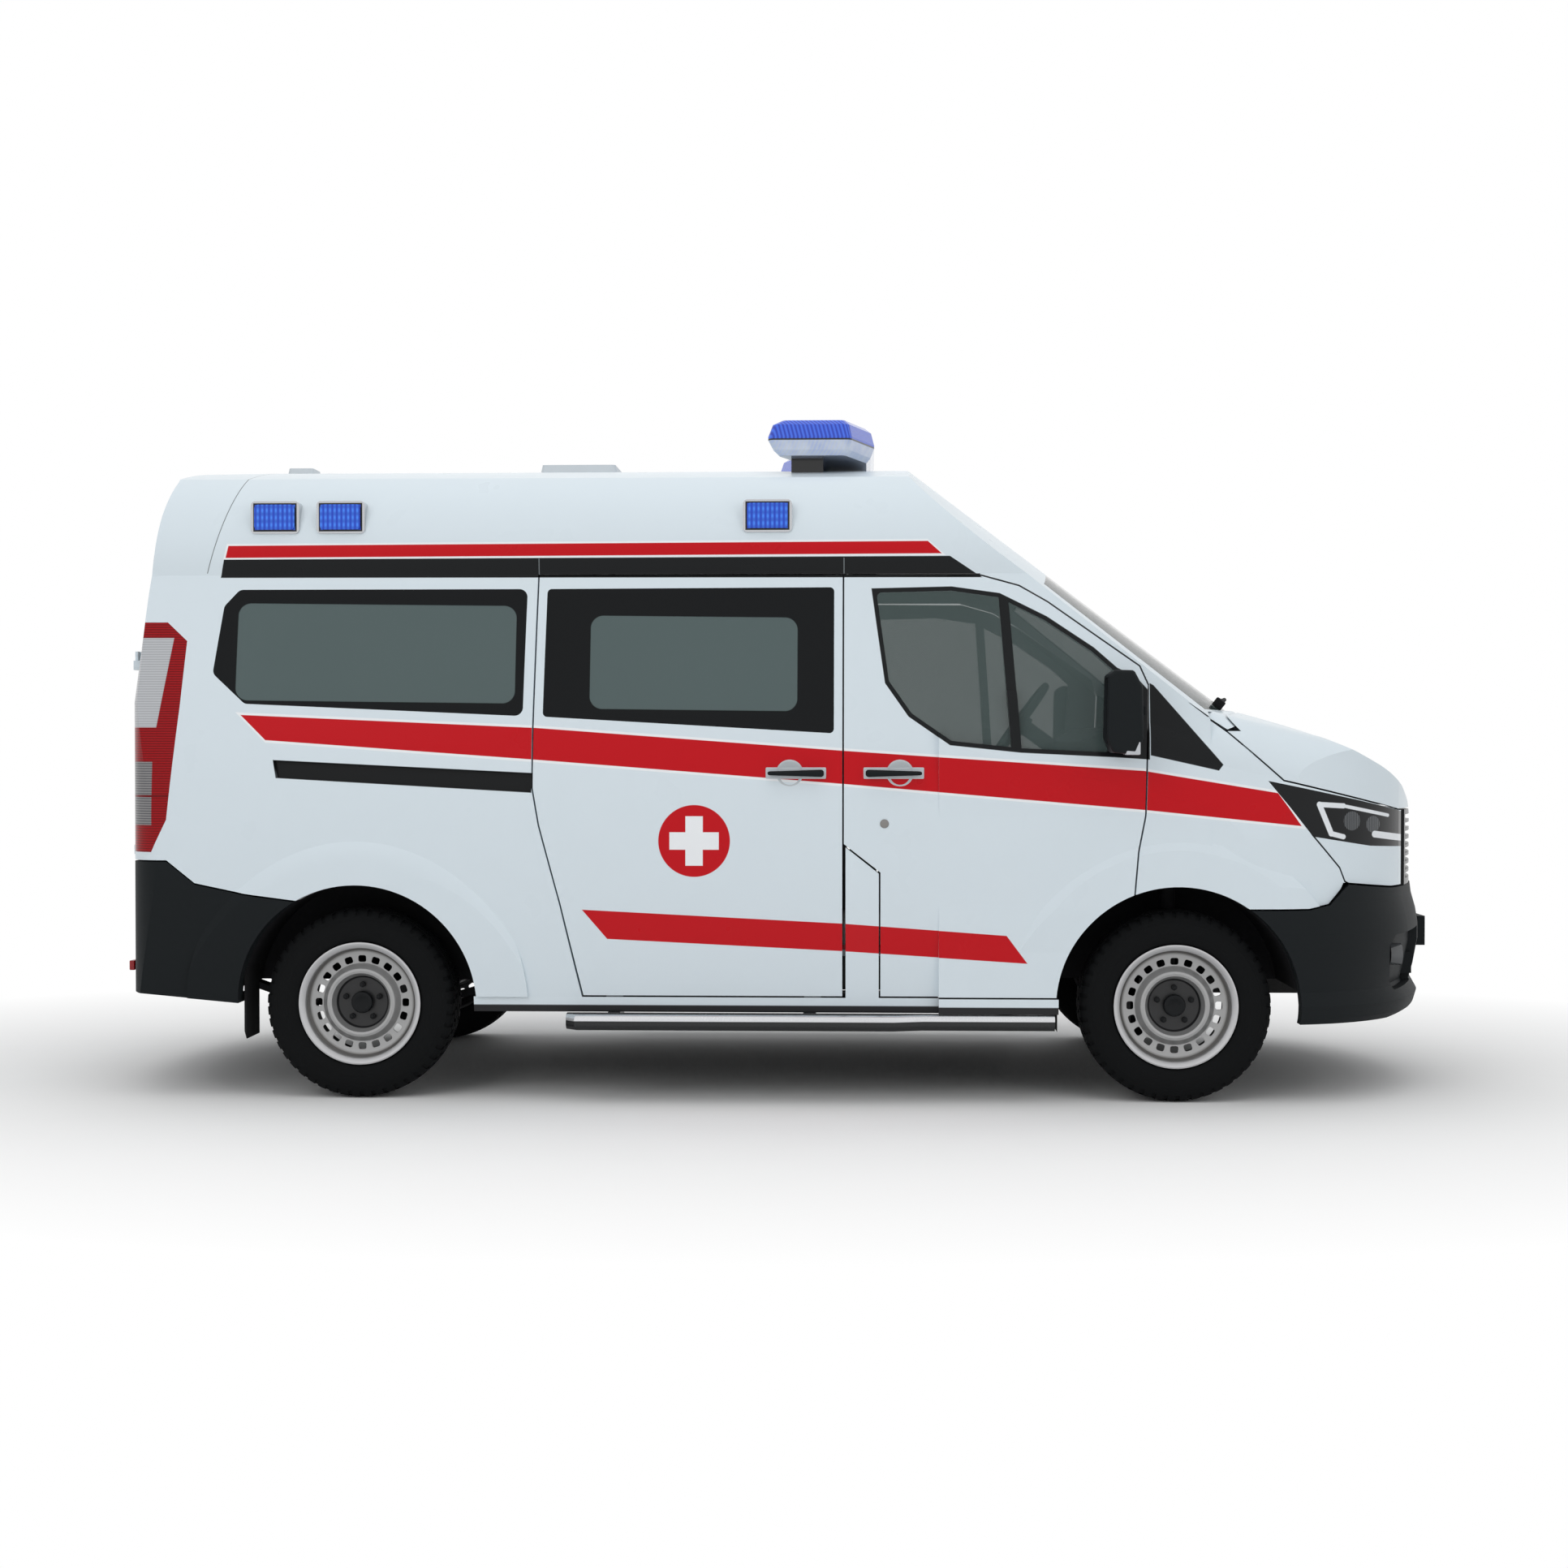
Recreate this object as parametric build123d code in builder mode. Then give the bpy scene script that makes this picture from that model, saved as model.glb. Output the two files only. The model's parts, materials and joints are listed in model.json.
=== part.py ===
"""High-roof ambulance van: hollow panelled body, opening doors and bonnet, steered front axle.

Millimetres. +X is forward, +Y is the vehicle's left, +Z is up. The origin is on the ground,
in the middle of the vehicle's length and width.
"""

import os
from math import cos, radians, sin, tan

from build123d import *

os.makedirs("parts", exist_ok=True)

# ---------------------------------------------------------------- driving dimensions
LENGTH = 4973.0
FRONT_OVERHANG = 1040.0
REAR_OVERHANG = 1000.0
BODY_HALF = 992.0  # half the width of the body at the doors' widest line
TRACK = 1660.0
SILL_Z = 320.0  # underside of the sills
BELT_Z = 1290.0  # where the side starts to lean inward
BELT_HALF = 966.0
GUTTER_Z = 1893.0  # lower edge of the raised roof
GUTTER_HALF = 866.0
ROOF_EDGE_Z = 2262.0
ROOF_EDGE_HALF = 690.0
ROOF_Z = 2345.0
WALL = 55.0  # thickness of walls and doors
GLASS = 6.0
GAP = 6.0  # gap between a panel and the next
SEAT = 0.3  # running clearance where pieces of different bodies meet

TYRE_DIAMETER = 686.0
TYRE_WIDTH = 215.0
RIM_DIAMETER = 440.0
ARCH_RADIUS = 432.0
HOUSING_WALL = 8.0
FLARE = 12.0  # how far the wheel-arch flares stand out of the side
FLARE_WIDTH = 185.0

# ---------------------------------------------------------------- derived places
FRONT_X = LENGTH / 2
REAR_X = -LENGTH / 2
FRONT_AXLE_X = FRONT_X - FRONT_OVERHANG
REAR_AXLE_X = REAR_X + REAR_OVERHANG
WHEEL_Z = TYRE_DIAMETER / 2
WHEEL_Y = TRACK / 2

REAR_FACE_X = -2317.0  # rear doors' outer face below the windows
REAR_TOP_X = -2195.0  # the same face where it meets the roof
REAR_LEAN_Z = 1430.0  # the rear face leans forward from here up
REAR_LEAN = 7.5  # degrees
REAR_CORNER = 130.0
SCREEN_BASE = (1752.0, 1396.0)  # windscreen's lower edge on the centre line
SCREEN_TOP = (790.0, 2126.0)
SCREEN_BOW = 190.0  # how far the middle of the screen stands ahead of its sides
COWL = 16.0  # from the screen to the bonnet
COWL_FOOT = 1332.0  # the cowl's side corners reach down to here, the bonnet's wings up to it
CAB_FRONT = 1560.0  # the nose takes over from the cab here, below the screen
NOSE_X = 2444.0  # front face of the grille


def body_section(inset: float) -> Sketch:
    """Cross-section of the body on YZ: lower side, window area, roof side and crown."""
    with BuildSketch(Plane.YZ) as section:
        with BuildLine():
            for side in (1, -1):
                foot = (side * (BODY_HALF - 44), SILL_Z)
                belt = (side * BELT_HALF, BELT_Z)
                gutter = (side * GUTTER_HALF, GUTTER_Z)
                ThreePointArc(foot, (side * BODY_HALF, 800), belt)
                ThreePointArc(belt, (side * 922, 1590), gutter)
                ThreePointArc(gutter, (side * 826, 2130), (side * ROOF_EDGE_HALF, ROOF_EDGE_Z))
            ThreePointArc((ROOF_EDGE_HALF, ROOF_EDGE_Z), (0, ROOF_Z), (-ROOF_EDGE_HALF, ROOF_EDGE_Z))
            Line((44 - BODY_HALF, SILL_Z), (BODY_HALF - 44, SILL_Z))
        make_face()
        if inset:
            offset(amount=-inset, kind=Kind.INTERSECTION)
    return section.sketch


def body_profile(inset: float) -> Sketch:
    """Side view of the body on XZ, which rounds the roof's rear edge."""
    top = ROOF_Z + 5
    with BuildSketch(Plane.XZ) as profile:
        with BuildLine():
            Polyline(
                (REAR_TOP_X - 8, top - 100), (REAR_FACE_X, 1600), (REAR_FACE_X, SILL_Z),
                (NOSE_X, SILL_Z), (NOSE_X, top), (-1500, top), (REAR_TOP_X + 30, top - 45),
            )
            ThreePointArc(
                (REAR_TOP_X + 30, top - 45), (REAR_TOP_X - 1, top - 62), (REAR_TOP_X - 8, top - 100)
            )
        make_face()
        if inset:
            offset(amount=-inset, kind=Kind.INTERSECTION)
    return profile.sketch


def rear_prism(inset: float) -> Part:
    """All that lies ahead of the rear face, upright to the belt and leaning forward above it."""
    with BuildPart() as prism:
        for start, height, lean in ((0, REAR_LEAN_Z, 0), (REAR_LEAN_Z, 1000, REAR_LEAN)):
            with BuildSketch(Plane.XY.offset(start)) as plan:
                with Locations(((NOSE_X + REAR_FACE_X + inset) / 2, 0)):
                    Rectangle(NOSE_X - REAR_FACE_X - inset, 2 * (BODY_HALF + 2 - inset))
                fillet(plan.vertices().group_by(Axis.X)[0], radius=REAR_CORNER - inset)
            extrude(amount=height, taper=lean)
    return prism.part


SCREEN_RUN = Vector(SCREEN_BASE[0] - SCREEN_TOP[0], 0, SCREEN_BASE[1] - SCREEN_TOP[1]).normalized()


def screen_prism(inset: float) -> Part:
    """All that lies behind the bowed windscreen surface moved inward by inset."""
    tip = SCREEN_BASE[0] - inset / abs(SCREEN_RUN.Z)
    with BuildPart() as prism:
        with BuildSketch(Plane.XY.offset(SCREEN_BASE[1])):
            with BuildLine():
                ThreePointArc((tip - SCREEN_BOW, 890), (tip, 0), (tip - SCREEN_BOW, -890))
                Polyline(
                    (tip - SCREEN_BOW, -890), (tip - SCREEN_BOW - 130, -1150), (-4400, -1150),
                    (-4400, 1150), (tip - SCREEN_BOW - 130, 1150), (tip - SCREEN_BOW, 890),
                )
            make_face()
        extrude(amount=1900, both=True, dir=SCREEN_RUN)
    return prism.part


def body_solid(inset: float) -> Part:
    """The closed outer shape of the cab and load space, moved inward by inset."""
    with BuildPart() as solid:
        extrude(body_section(inset).faces(), amount=LENGTH, both=True)
        extrude(body_profile(inset).faces(), amount=BODY_HALF + 100, both=True, mode=Mode.INTERSECT)
        add(screen_prism(inset), mode=Mode.INTERSECT)
        add(rear_prism(inset), mode=Mode.INTERSECT)
        with BuildSketch(Plane.XZ):
            with Locations((CAB_FRONT + 1000, SCREEN_BASE[1] - 1000)):
                Rectangle(2000, 2000)
        extrude(amount=BODY_HALF + 100, both=True, mode=Mode.SUBTRACT)
    return solid.part


def nose_solid(inset: float) -> Part:
    """The closed outer shape ahead of the cab: bonnet, fenders and the front between them."""
    nose = NOSE_X - inset
    half = BODY_HALF - 3 - inset
    with BuildPart() as solid:
        with BuildSketch(Plane.XY):
            with BuildLine():
                ThreePointArc((nose - 150, 650 - inset), (nose, 0), (nose - 150, inset - 650))
                for side in (1, -1):
                    corner = (nose - 150, side * (650 - inset))
                    ThreePointArc(corner, (2060 - inset / 2, side * (half - 96)), (1600, side * half))
                    Line((1600, side * half), (600, side * half))
                Line((600, half), (600, -half))
            make_face()
        extrude(amount=1600)
        base = (SCREEN_BASE[0], SCREEN_BASE[1] - inset)
        with BuildSketch(Plane.XZ):
            with BuildLine():
                Polyline(
                    (600, SILL_Z - 40), (nose, SILL_Z - 40), (nose, 760), (nose - 10, 900),
                    (nose - 34, 990), (nose - 75, 1070), (nose - 125, 1125 - inset / 2),
                )
                brow = (nose - 270, 1215 - inset)
                ThreePointArc(
                    (nose - 125, 1125 - inset / 2), (nose - 190, 1172 - 0.8 * inset), brow
                )
                ThreePointArc(brow, (2030, 1282 - inset), base)
                Polyline(base, (1400, 1470 - inset), (600, 1470 - inset), (600, SILL_Z - 40))
            make_face()
        extrude(amount=BODY_HALF + 100, both=True, mode=Mode.INTERSECT)
        with BuildSketch(Plane.YZ.offset(1700)):
            with BuildLine():
                for side in (1, -1):
                    shoulder = (side * (975 - inset), 1180 - inset / 2)
                    Polyline((side * 1000, -200), (side * 1000, 900), shoulder)
                    ThreePointArc(
                        shoulder, (side * (930 - 0.8 * inset), 1312 - 0.8 * inset),
                        (side * (790 - inset / 2), 1374 - inset),
                    )
                ThreePointArc(
                    (790 - inset / 2, 1374 - inset), (0, 1425 - inset), (inset / 2 - 790, 1374 - inset)
                )
                Line((1000, -200), (-1000, -200))
            make_face()
        extrude(amount=1300, both=True, dir=Vector(1, 0, -0.24).normalized(), mode=Mode.INTERSECT)
    return solid.part


def side_view(outline, near=400.0, far=1150.0, corner=0.0, grow=0.0) -> Part:
    """Prism over an (x, z) outline, from near to far on the right-hand side."""
    with BuildPart() as prism:
        with BuildSketch(Plane.XZ.offset(near)) as drawn:
            with BuildLine():
                Polyline(*outline, close=True)
            make_face()
            if corner:
                fillet(drawn.vertices(), radius=corner)
            if grow:
                offset(amount=grow, kind=Kind.INTERSECTION)
        extrude(amount=far - near)
    return prism.part


def wheel_cylinder(axle_x, radius, near=430.0, far=1150.0) -> Part:
    """Round space about an axle on the right-hand side."""
    with BuildPart() as space:
        with BuildSketch(Plane.XZ.offset(near)):
            with Locations((axle_x, WHEEL_Z)):
                Circle(radius)
        extrude(amount=far - near)
    return space.part


def turned(axle_x, build_outline) -> Part:
    """Solid turned about a right-hand wheel's axis."""
    origin = (axle_x, -WHEEL_Y, WHEEL_Z)
    with BuildPart() as solid:
        with BuildSketch(Plane(origin=origin, x_dir=(1, 0, 0), z_dir=(0, 0, -1))):
            with BuildLine():
                build_outline()
            make_face()
        revolve(axis=Axis(origin, (0, 1, 0)))
    return solid.part


def flare_outline() -> None:
    outboard = BODY_HALF + FLARE - WHEEL_Y
    rim = ARCH_RADIUS + FLARE_WIDTH
    Polyline(
        (rim, outboard - 2 * FLARE), (rim, outboard - 60), (ARCH_RADIUS, outboard - 60),
        (ARCH_RADIUS, outboard), (rim - 105, outboard),
    )
    ThreePointArc((rim - 105, outboard), (rim - 45, outboard - 7), (rim, outboard - 2 * FLARE))


def save(part: Part, name: str) -> Part:
    """Label a finished piece and write its STEP file."""
    part.label = name
    export_step(part, f"parts/{name}.step")
    return part


def save_pair(right: Part, name: str) -> None:
    """Write the right-hand piece and its mirror image on the left."""
    save(right, name + "_right")
    save(mirror(right, about=Plane.XZ), name + "_left")


# ---------------------------------------------------------------- outlines seen from the side (x, z)
DOOR_FRONT = 1347.0  # front door's foremost edge
DOOR_SPLIT = 257.0  # between the front door and the load space
SLIDE_REAR = -848.0  # rear edge of the sliding door at its window
DOOR_TOP = GUTTER_Z - GAP
DOOR_FOOT = 380.0
REAR_HINGE = (REAR_FACE_X - 11, -814.0)  # x and y of the right rear door's hinge axis
REAR_HINGE_Z = (912.0, 1585.0)
PIN_RADIUS = 8.0
BARREL = 34.0
LEAF_HALF = 5.0  # half the thickness of a hinge leaf
LEAF_REACH = 30.0
LEAF_DEPTH = 10.0  # how far a leaf is let into its panel

FRONT_DOOR = [
    (DOOR_SPLIT + GAP, DOOR_TOP), (756, DOOR_TOP - 4), (888, 1846), (989, 1787), (1152, 1670),
    (1312, 1556), (DOOR_FRONT - 6, 1490), (DOOR_FRONT - 20, 1027), (DOOR_FRONT - 46, 895),
    (DOOR_FRONT - 59, 743), (DOOR_FRONT - 59, DOOR_FOOT), (393, DOOR_FOOT), (393, 824),
    (DOOR_SPLIT + GAP, 925),
]
FRONT_WINDOW = [
    (378, 1824), (647, 1830), (815, 1806), (979, 1723), (1143, 1612), (1225, 1539), (1203, 1250),
    (892, 1265), (645, 1291), (504, 1389), (423, 1505), (397, 1692),
]
WINDOW_BAR = [(808, 1900), (843, 1900), (897, 1200), (862, 1200)]
SLIDING_DOOR = [
    (DOOR_SPLIT, DOOR_TOP), (SLIDE_REAR + 10, DOOR_TOP), (SLIDE_REAR, 1323), (SLIDE_REAR, 1123),
    (SLIDE_REAR + 24, 990), (SLIDE_REAR + 100, 709), (SLIDE_REAR + 178, DOOR_FOOT),
    (DOOR_SPLIT, DOOR_FOOT),
]
SLIDING_WINDOW = [
    (SLIDE_REAR + 40, 1840), (SLIDE_REAR + 32, 1378), (DOOR_SPLIT - 30, 1318), (DOOR_SPLIT - 30, 1844),
]
REAR_WINDOW = [
    (-1930, 1840), (-1984, 1780), (-2016, 1535), (-1896, 1425), (SLIDE_REAR - 40, 1380),
    (SLIDE_REAR - 32, 1840),
]
REAR_BUMPER_TOP = [(REAR_X, 857), (-2169, 857), (-2067, 775), (-1891, 738), (-1600, 700)]
TAIL_LAMP = [
    (REAR_X, 1721), (-2188, 1721), (-2114, 1653), (-2131, 1417), (-2170, 1008), (-2225, 892),
    (REAR_X, 892),
]
HEADLAMP = [(1761, 1150), (2100, 1080), (2310, 1034), (2310, 905), (2150, 915), (1922, 953)]
BONNET_SEAM = [(1625, 1326), (1818, 1154), (2293, 1044)]
BONNET_OUTLINE = BONNET_SEAM + [(NOSE_X + 60, 1044), (NOSE_X + 60, 1600), (1400, 1600), (1400, 1500)]
ROOF_FRONT = [(752, GUTTER_Z), (905, 1872), (945, 1862), (1022, 1962), (1250, 2260)]

REAR_DOOR_HALF = 806.0
REAR_DOOR_FOOT = 560.0
TAIL_LAMP_INNER = REAR_DOOR_HALF + 42
BONNET_WALL = 30.0
FLOOR_TOP = 560.0
FLOOR_PLATE = 40.0
HOUSING_FOOT = WHEEL_Z + 60
RAIL_Y = (380, 450)
RAIL_Z = (400, FLOOR_TOP - FLOOR_PLATE)
RAIL_FRONT = 2300.0
HOUSING_INNER_FRONT = 505.0
HOUSING_INNER_REAR = 640.0
HOUSING_OUTER = 930.0
HOUSING_OUTER_DOOR = 890.0  # the same behind the front door, which it must not touch
FIREWALL_X = 1330.0

outer_body = body_solid(0)
inner_body = body_solid(WALL)
outer_nose = nose_solid(0)
inner_nose = nose_solid(WALL)
cabin = body_solid(WALL + 8)

with BuildPart() as shell:
    add(outer_body)
    add(outer_nose)
    add(inner_body, mode=Mode.SUBTRACT)
    add(inner_nose, mode=Mode.SUBTRACT)

with BuildPart() as glass_layer:
    add(outer_body)
    add(body_solid(GLASS), mode=Mode.SUBTRACT)

with BuildPart() as flare_limit:
    extrude(body_section(-FLARE).faces(), amount=LENGTH, both=True)
with BuildPart() as flared_shell:
    add(shell.part)
    add(turned(REAR_AXLE_X, flare_outline) & flare_limit.part)
    add(turned(FRONT_AXLE_X, flare_outline) & flare_limit.part & nose_solid(-FLARE))

arch_rear = wheel_cylinder(REAR_AXLE_X, ARCH_RADIUS)
arch_front = wheel_cylinder(FRONT_AXLE_X, ARCH_RADIUS)


def panel(outline, *holes, layer=None, near=600.0, corner=0.0) -> Part:
    """The stretch of the right-hand wall inside an outline, less its holes."""
    with BuildPart() as piece:
        add(layer or shell.part)
        add(side_view(outline, near=near, corner=corner), mode=Mode.INTERSECT)
        for hole in holes:
            add(hole, mode=Mode.SUBTRACT)
    return piece.part


def both_sides(right: Part) -> Part:
    """A right-hand piece together with its mirror image."""
    with BuildPart() as pair:
        add(right)
        add(mirror(right, about=Plane.XZ))
    return pair.part


def block(x, y, z) -> Part:
    """Box between two limits on each axis."""
    with BuildPart() as box:
        with Locations(((x[0] + x[1]) / 2, (y[0] + y[1]) / 2, (z[0] + z[1]) / 2)):
            Box(x[1] - x[0], y[1] - y[0], z[1] - z[0])
    return box.part


def rod(start, end, radius) -> Part:
    """Round bar between two points."""
    axis = Vector(*end) - Vector(*start)
    with BuildPart() as bar:
        with BuildSketch(Plane(origin=start, z_dir=axis)):
            Circle(radius)
        extrude(amount=axis.length)
    return bar.part


def full_width(outline, half=1150.0, grow=0.0) -> Part:
    """Prism over an (x, z) outline across the whole vehicle."""
    with BuildPart() as prism:
        with BuildSketch(Plane.XZ):
            with BuildLine():
                Polyline(*outline, close=True)
            make_face()
            if grow:
                offset(amount=grow, kind=Kind.INTERSECTION)
        extrude(amount=half, both=True)
    return prism.part


def rear_hinge(on_door: bool) -> Part:
    """Barrels of the right rear door's hinges: the lower halves are the body's."""
    x, y = REAR_HINGE
    side = 1 if on_door else -1
    edge = -REAR_DOOR_HALF + 2 if on_door else -REAR_DOOR_HALF - GAP - 2
    with BuildPart() as barrels:
        for middle in REAR_HINGE_Z:
            foot = middle + SEAT if on_door else middle - BARREL
            height = BARREL - SEAT if on_door else BARREL
            lean = max(0, middle + BARREL - REAR_LEAN_Z) * tan(radians(REAR_LEAN))
            with BuildSketch(Plane.XY.offset(foot)):
                with Locations((x, y)):
                    Circle(PIN_RADIUS)
            extrude(amount=height)
            reach = y + side * LEAF_REACH
            add(block((x - LEAF_HALF, x + LEAF_HALF), sorted((y, reach)), (foot, foot + height)))
            sunk = (x - LEAF_HALF, REAR_FACE_X + lean + LEAF_DEPTH)
            add(block(sunk, sorted((edge, reach)), (foot, foot + height)))
    return barrels.part


# ---------------------------------------------------------------- body panels
window_bar = side_view(WINDOW_BAR)
front_window = side_view(FRONT_WINDOW, corner=18) - window_bar
sliding_window = side_view(SLIDING_WINDOW, corner=16)
rear_window = side_view(REAR_WINDOW, corner=30)
save_pair(panel(FRONT_DOOR, front_window, arch_front, layer=flared_shell.part), "front_door")
save_pair(panel(FRONT_WINDOW, window_bar, layer=glass_layer.part, corner=18), "door_glass")

with BuildPart() as sliding_door:
    add(panel(SLIDING_DOOR, sliding_window, arch_rear))
    for x in (-560, 150):
        add(block((x - 30, x + 30), (-940, -908), (DOOR_FOOT - GAP, DOOR_FOOT + 10)))
save(sliding_door.part, "sliding_door")

SLIDE_RAIL = [(-1785, 1221), (SLIDE_REAR - GAP, 1175), (SLIDE_REAR - GAP, 1108), (-1775, 1160)]
RAIL_DEPTH = 24.0
rail_slot = panel(SLIDE_RAIL, layer=outer_body - body_solid(RAIL_DEPTH))

slide_edge = [(x - GAP, z) for x, z in SLIDING_DOOR[1:6]]
quarter_foot = [(SLIDE_REAR + 178 - GAP, DOOR_FOOT - GAP), (-1200, DOOR_FOOT - GAP)]
bumper_top = [(x, z + GAP) for x, z in reversed(REAR_BUMPER_TOP)]
quarter_outline = [(REAR_X, GUTTER_Z), (SLIDE_REAR + 10 - GAP, GUTTER_Z)] + slide_edge + quarter_foot
quarter_outline += bumper_top
tail_space = side_view(TAIL_LAMP, near=TAIL_LAMP_INNER)
quarter_right = panel(
    quarter_outline, rear_window, arch_rear, tail_space, rail_slot,
    layer=flared_shell.part, near=REAR_DOOR_HALF + GAP,
)
save(quarter_right + rear_hinge(False), "rear_quarter_right")

wall_outline = [(REAR_X, GUTTER_Z), (DOOR_SPLIT, GUTTER_Z), (DOOR_SPLIT, DOOR_FOOT - GAP)]
wall_outline += [(-1200, DOOR_FOOT - GAP)] + bumper_top
wall_left = panel(
    wall_outline, rear_window, sliding_window, arch_rear, tail_space,
    layer=flared_shell.part, near=REAR_DOOR_HALF + GAP,
)
save(mirror(wall_left + rear_hinge(False), about=Plane.XZ), "side_wall_left")

with BuildPart() as side_glass:
    add(panel(SLIDING_WINDOW, layer=glass_layer.part, corner=16))
    add(panel(REAR_WINDOW, layer=glass_layer.part, corner=30))
save(both_sides(side_glass.part), "side_glass")

with BuildPart() as high_roof:
    add(shell.part)
    add(full_width(ROOF_FRONT + [(1250, 2600), (REAR_X, 2600), (REAR_X, GUTTER_Z)]), mode=Mode.INTERSECT)
save(high_roof.part, "high_roof")

with BuildPart() as screen_hole:
    with BuildSketch(Plane.YZ.offset(800)):
        with BuildLine():
            Polyline((-820, 1858), (-893, 1404), (893, 1404), (820, 1858))
            ThreePointArc((820, 1858), (0, 1944), (-820, 1858))
        make_face()
    extrude(amount=1200)

housing_space = wheel_cylinder(
    FRONT_AXLE_X, ARCH_RADIUS + HOUSING_WALL + SEAT, near=HOUSING_INNER_FRONT - SEAT
)
frame_outline = ROOF_FRONT + [
    (2100, 1600), (2100, COWL_FOOT + 13), (1660, COWL_FOOT + 13), (1625, COWL_FOOT), (1490, 1425),
    (1336, 1500), (700, 1700),
]
door_clearance = full_width(FRONT_DOOR, grow=GAP)
with BuildPart() as front_frame:
    add(shell.part)
    add(screen_prism(-COWL), mode=Mode.INTERSECT)
    add(full_width(frame_outline), mode=Mode.INTERSECT)
    add(door_clearance, mode=Mode.SUBTRACT)
    add(screen_hole.part, mode=Mode.SUBTRACT)
    add(block((FIREWALL_X, FIREWALL_X + 20), (-850, 850), (FLOOR_TOP, 1330)))
    add(block((FIREWALL_X, 1700), (-735, 735), (1305, 1340)))
    add(housing_space, mode=Mode.SUBTRACT)
    add(mirror(housing_space, about=Plane.XZ), mode=Mode.SUBTRACT)
save(front_frame.part, "front_frame")

with BuildPart() as windscreen:
    add(glass_layer.part)
    add(screen_hole.part, mode=Mode.INTERSECT)
save(windscreen.part, "windscreen")

# ---------------------------------------------------------------- nose
nose_shell = outer_nose - nose_solid(BONNET_WALL)
with BuildPart() as bonnet:
    add(nose_shell)
    add(full_width(BONNET_OUTLINE), mode=Mode.INTERSECT)
    above_cowl = block((1300, 2300), (-1100, 1100), (COWL_FOOT - GAP, 1700))
    add(screen_prism(-COWL - GAP) & above_cowl, mode=Mode.SUBTRACT)
save(bonnet.part, "bonnet")

bonnet_clearance = full_width(BONNET_OUTLINE, grow=GAP)
headlamp_space = side_view(HEADLAMP, near=470)
BUMPER_TOP = 758.0
FENDER = [
    (DOOR_FRONT - 11, 1500), (1490, 1425), (1625, COWL_FOOT), (2310, COWL_FOOT), (2310, BUMPER_TOP + 7),
    (2252, BUMPER_TOP + 7), (2062, 786), (2040, 786),
    (2030, 765), (1982, 713), (1906, 698), (1670, 697), (1000, 700),
]
FASCIA = [
    (1931, 951), (2150, 915), (2310, 905), (2310, BUMPER_TOP + 7), (2252, BUMPER_TOP + 7),
    (2062, 786), (2049, 793), (2028, 842),
]
fascia_space = side_view(FASCIA, near=470, grow=GAP)
fender = panel(
    FENDER, door_clearance, bonnet_clearance, headlamp_space, arch_front, fascia_space,
    layer=flared_shell.part, near=560,
)
save(both_sides(panel(FASCIA, near=560)), "front_fascia")
seam_slope = (BONNET_SEAM[1][1] - BONNET_SEAM[0][1]) / (BONNET_SEAM[1][0] - BONNET_SEAM[0][0])
STOP_X = (1680.0, 1715.0)  # the shut bonnet rests on the fenders here
stop_top = [(x, BONNET_SEAM[0][1] + (x - BONNET_SEAM[0][0]) * seam_slope) for x in STOP_X]
bonnet_stop = side_view(
    [(x, z - 1.4 * SEAT) for x, z in stop_top] + [(x, z - 3 * GAP) for x, z in reversed(stop_top)],
    near=BODY_HALF - 87, far=BODY_HALF - 54,
)
save(both_sides(fender + bonnet_stop), "front_fenders")
save(both_sides(panel(HEADLAMP, bonnet_clearance, near=560)), "headlamps")

GRILLE = ((2150, NOSE_X + 10), (-553, 553), (BUMPER_TOP, 1038))
GRILLE_ROWS = 8
GRILLE_PITCH = 31.0
with BuildPart() as grille:
    add(nose_shell)
    add(block(*GRILLE), mode=Mode.INTERSECT)
    for row in range(GRILLE_ROWS):
        z = GRILLE[2][0] + 24 + row * GRILLE_PITCH
        for side in (1, -1):
            slot = sorted((side * 12, side * 530))
            add(block((2150, NOSE_X + 10), slot, (z, z + GRILLE_PITCH - 11)), mode=Mode.SUBTRACT)
save(grille.part, "grille")

BUMPER_WALL = 60.0  # wall of the front bumper
BUMPER_FRONT = [
    (1500, 288), (1660, 691), (1908, 692), (1986, 707), (2036, BUMPER_TOP), (2060, 779), (2250, BUMPER_TOP),
    (2600, BUMPER_TOP), (2600, 345), (2425, 318), (2230, 288),
]
# height, and how far the bumper's face stands back there from its foremost line
BUMPER_FACE = [
    (250, 80), (306, 18), (352, 4), (402, 32), (452, 18), (548, 0), (606, 0), (660, 9), (720, 26),
    (800, 36),
]


def bumper_solid(inset: float) -> Part:
    """Solid inside the front bumper's faces, moved inward by inset."""
    with BuildPart() as solid:
        for height, back in BUMPER_FACE:
            front = FRONT_X - 8 - inset - back
            half = BODY_HALF + 6 - inset - back / 4
            with BuildSketch(Plane.XY.offset(height)):
                with BuildLine():
                    ThreePointArc((front - 150, 650 - inset), (front, 0), (front - 150, inset - 650))
                    for side in (1, -1):
                        corner = (front - 150, side * (650 - inset))
                        ThreePointArc(
                            corner, (2100 - (inset + back) / 2, side * (half - 94)), (1640, side * half)
                        )
                        Line((1640, side * half), (1000, side * half))
                    Line((1000, half), (1000, -half))
                make_face()
        loft(ruled=True)
    return solid.part


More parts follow.
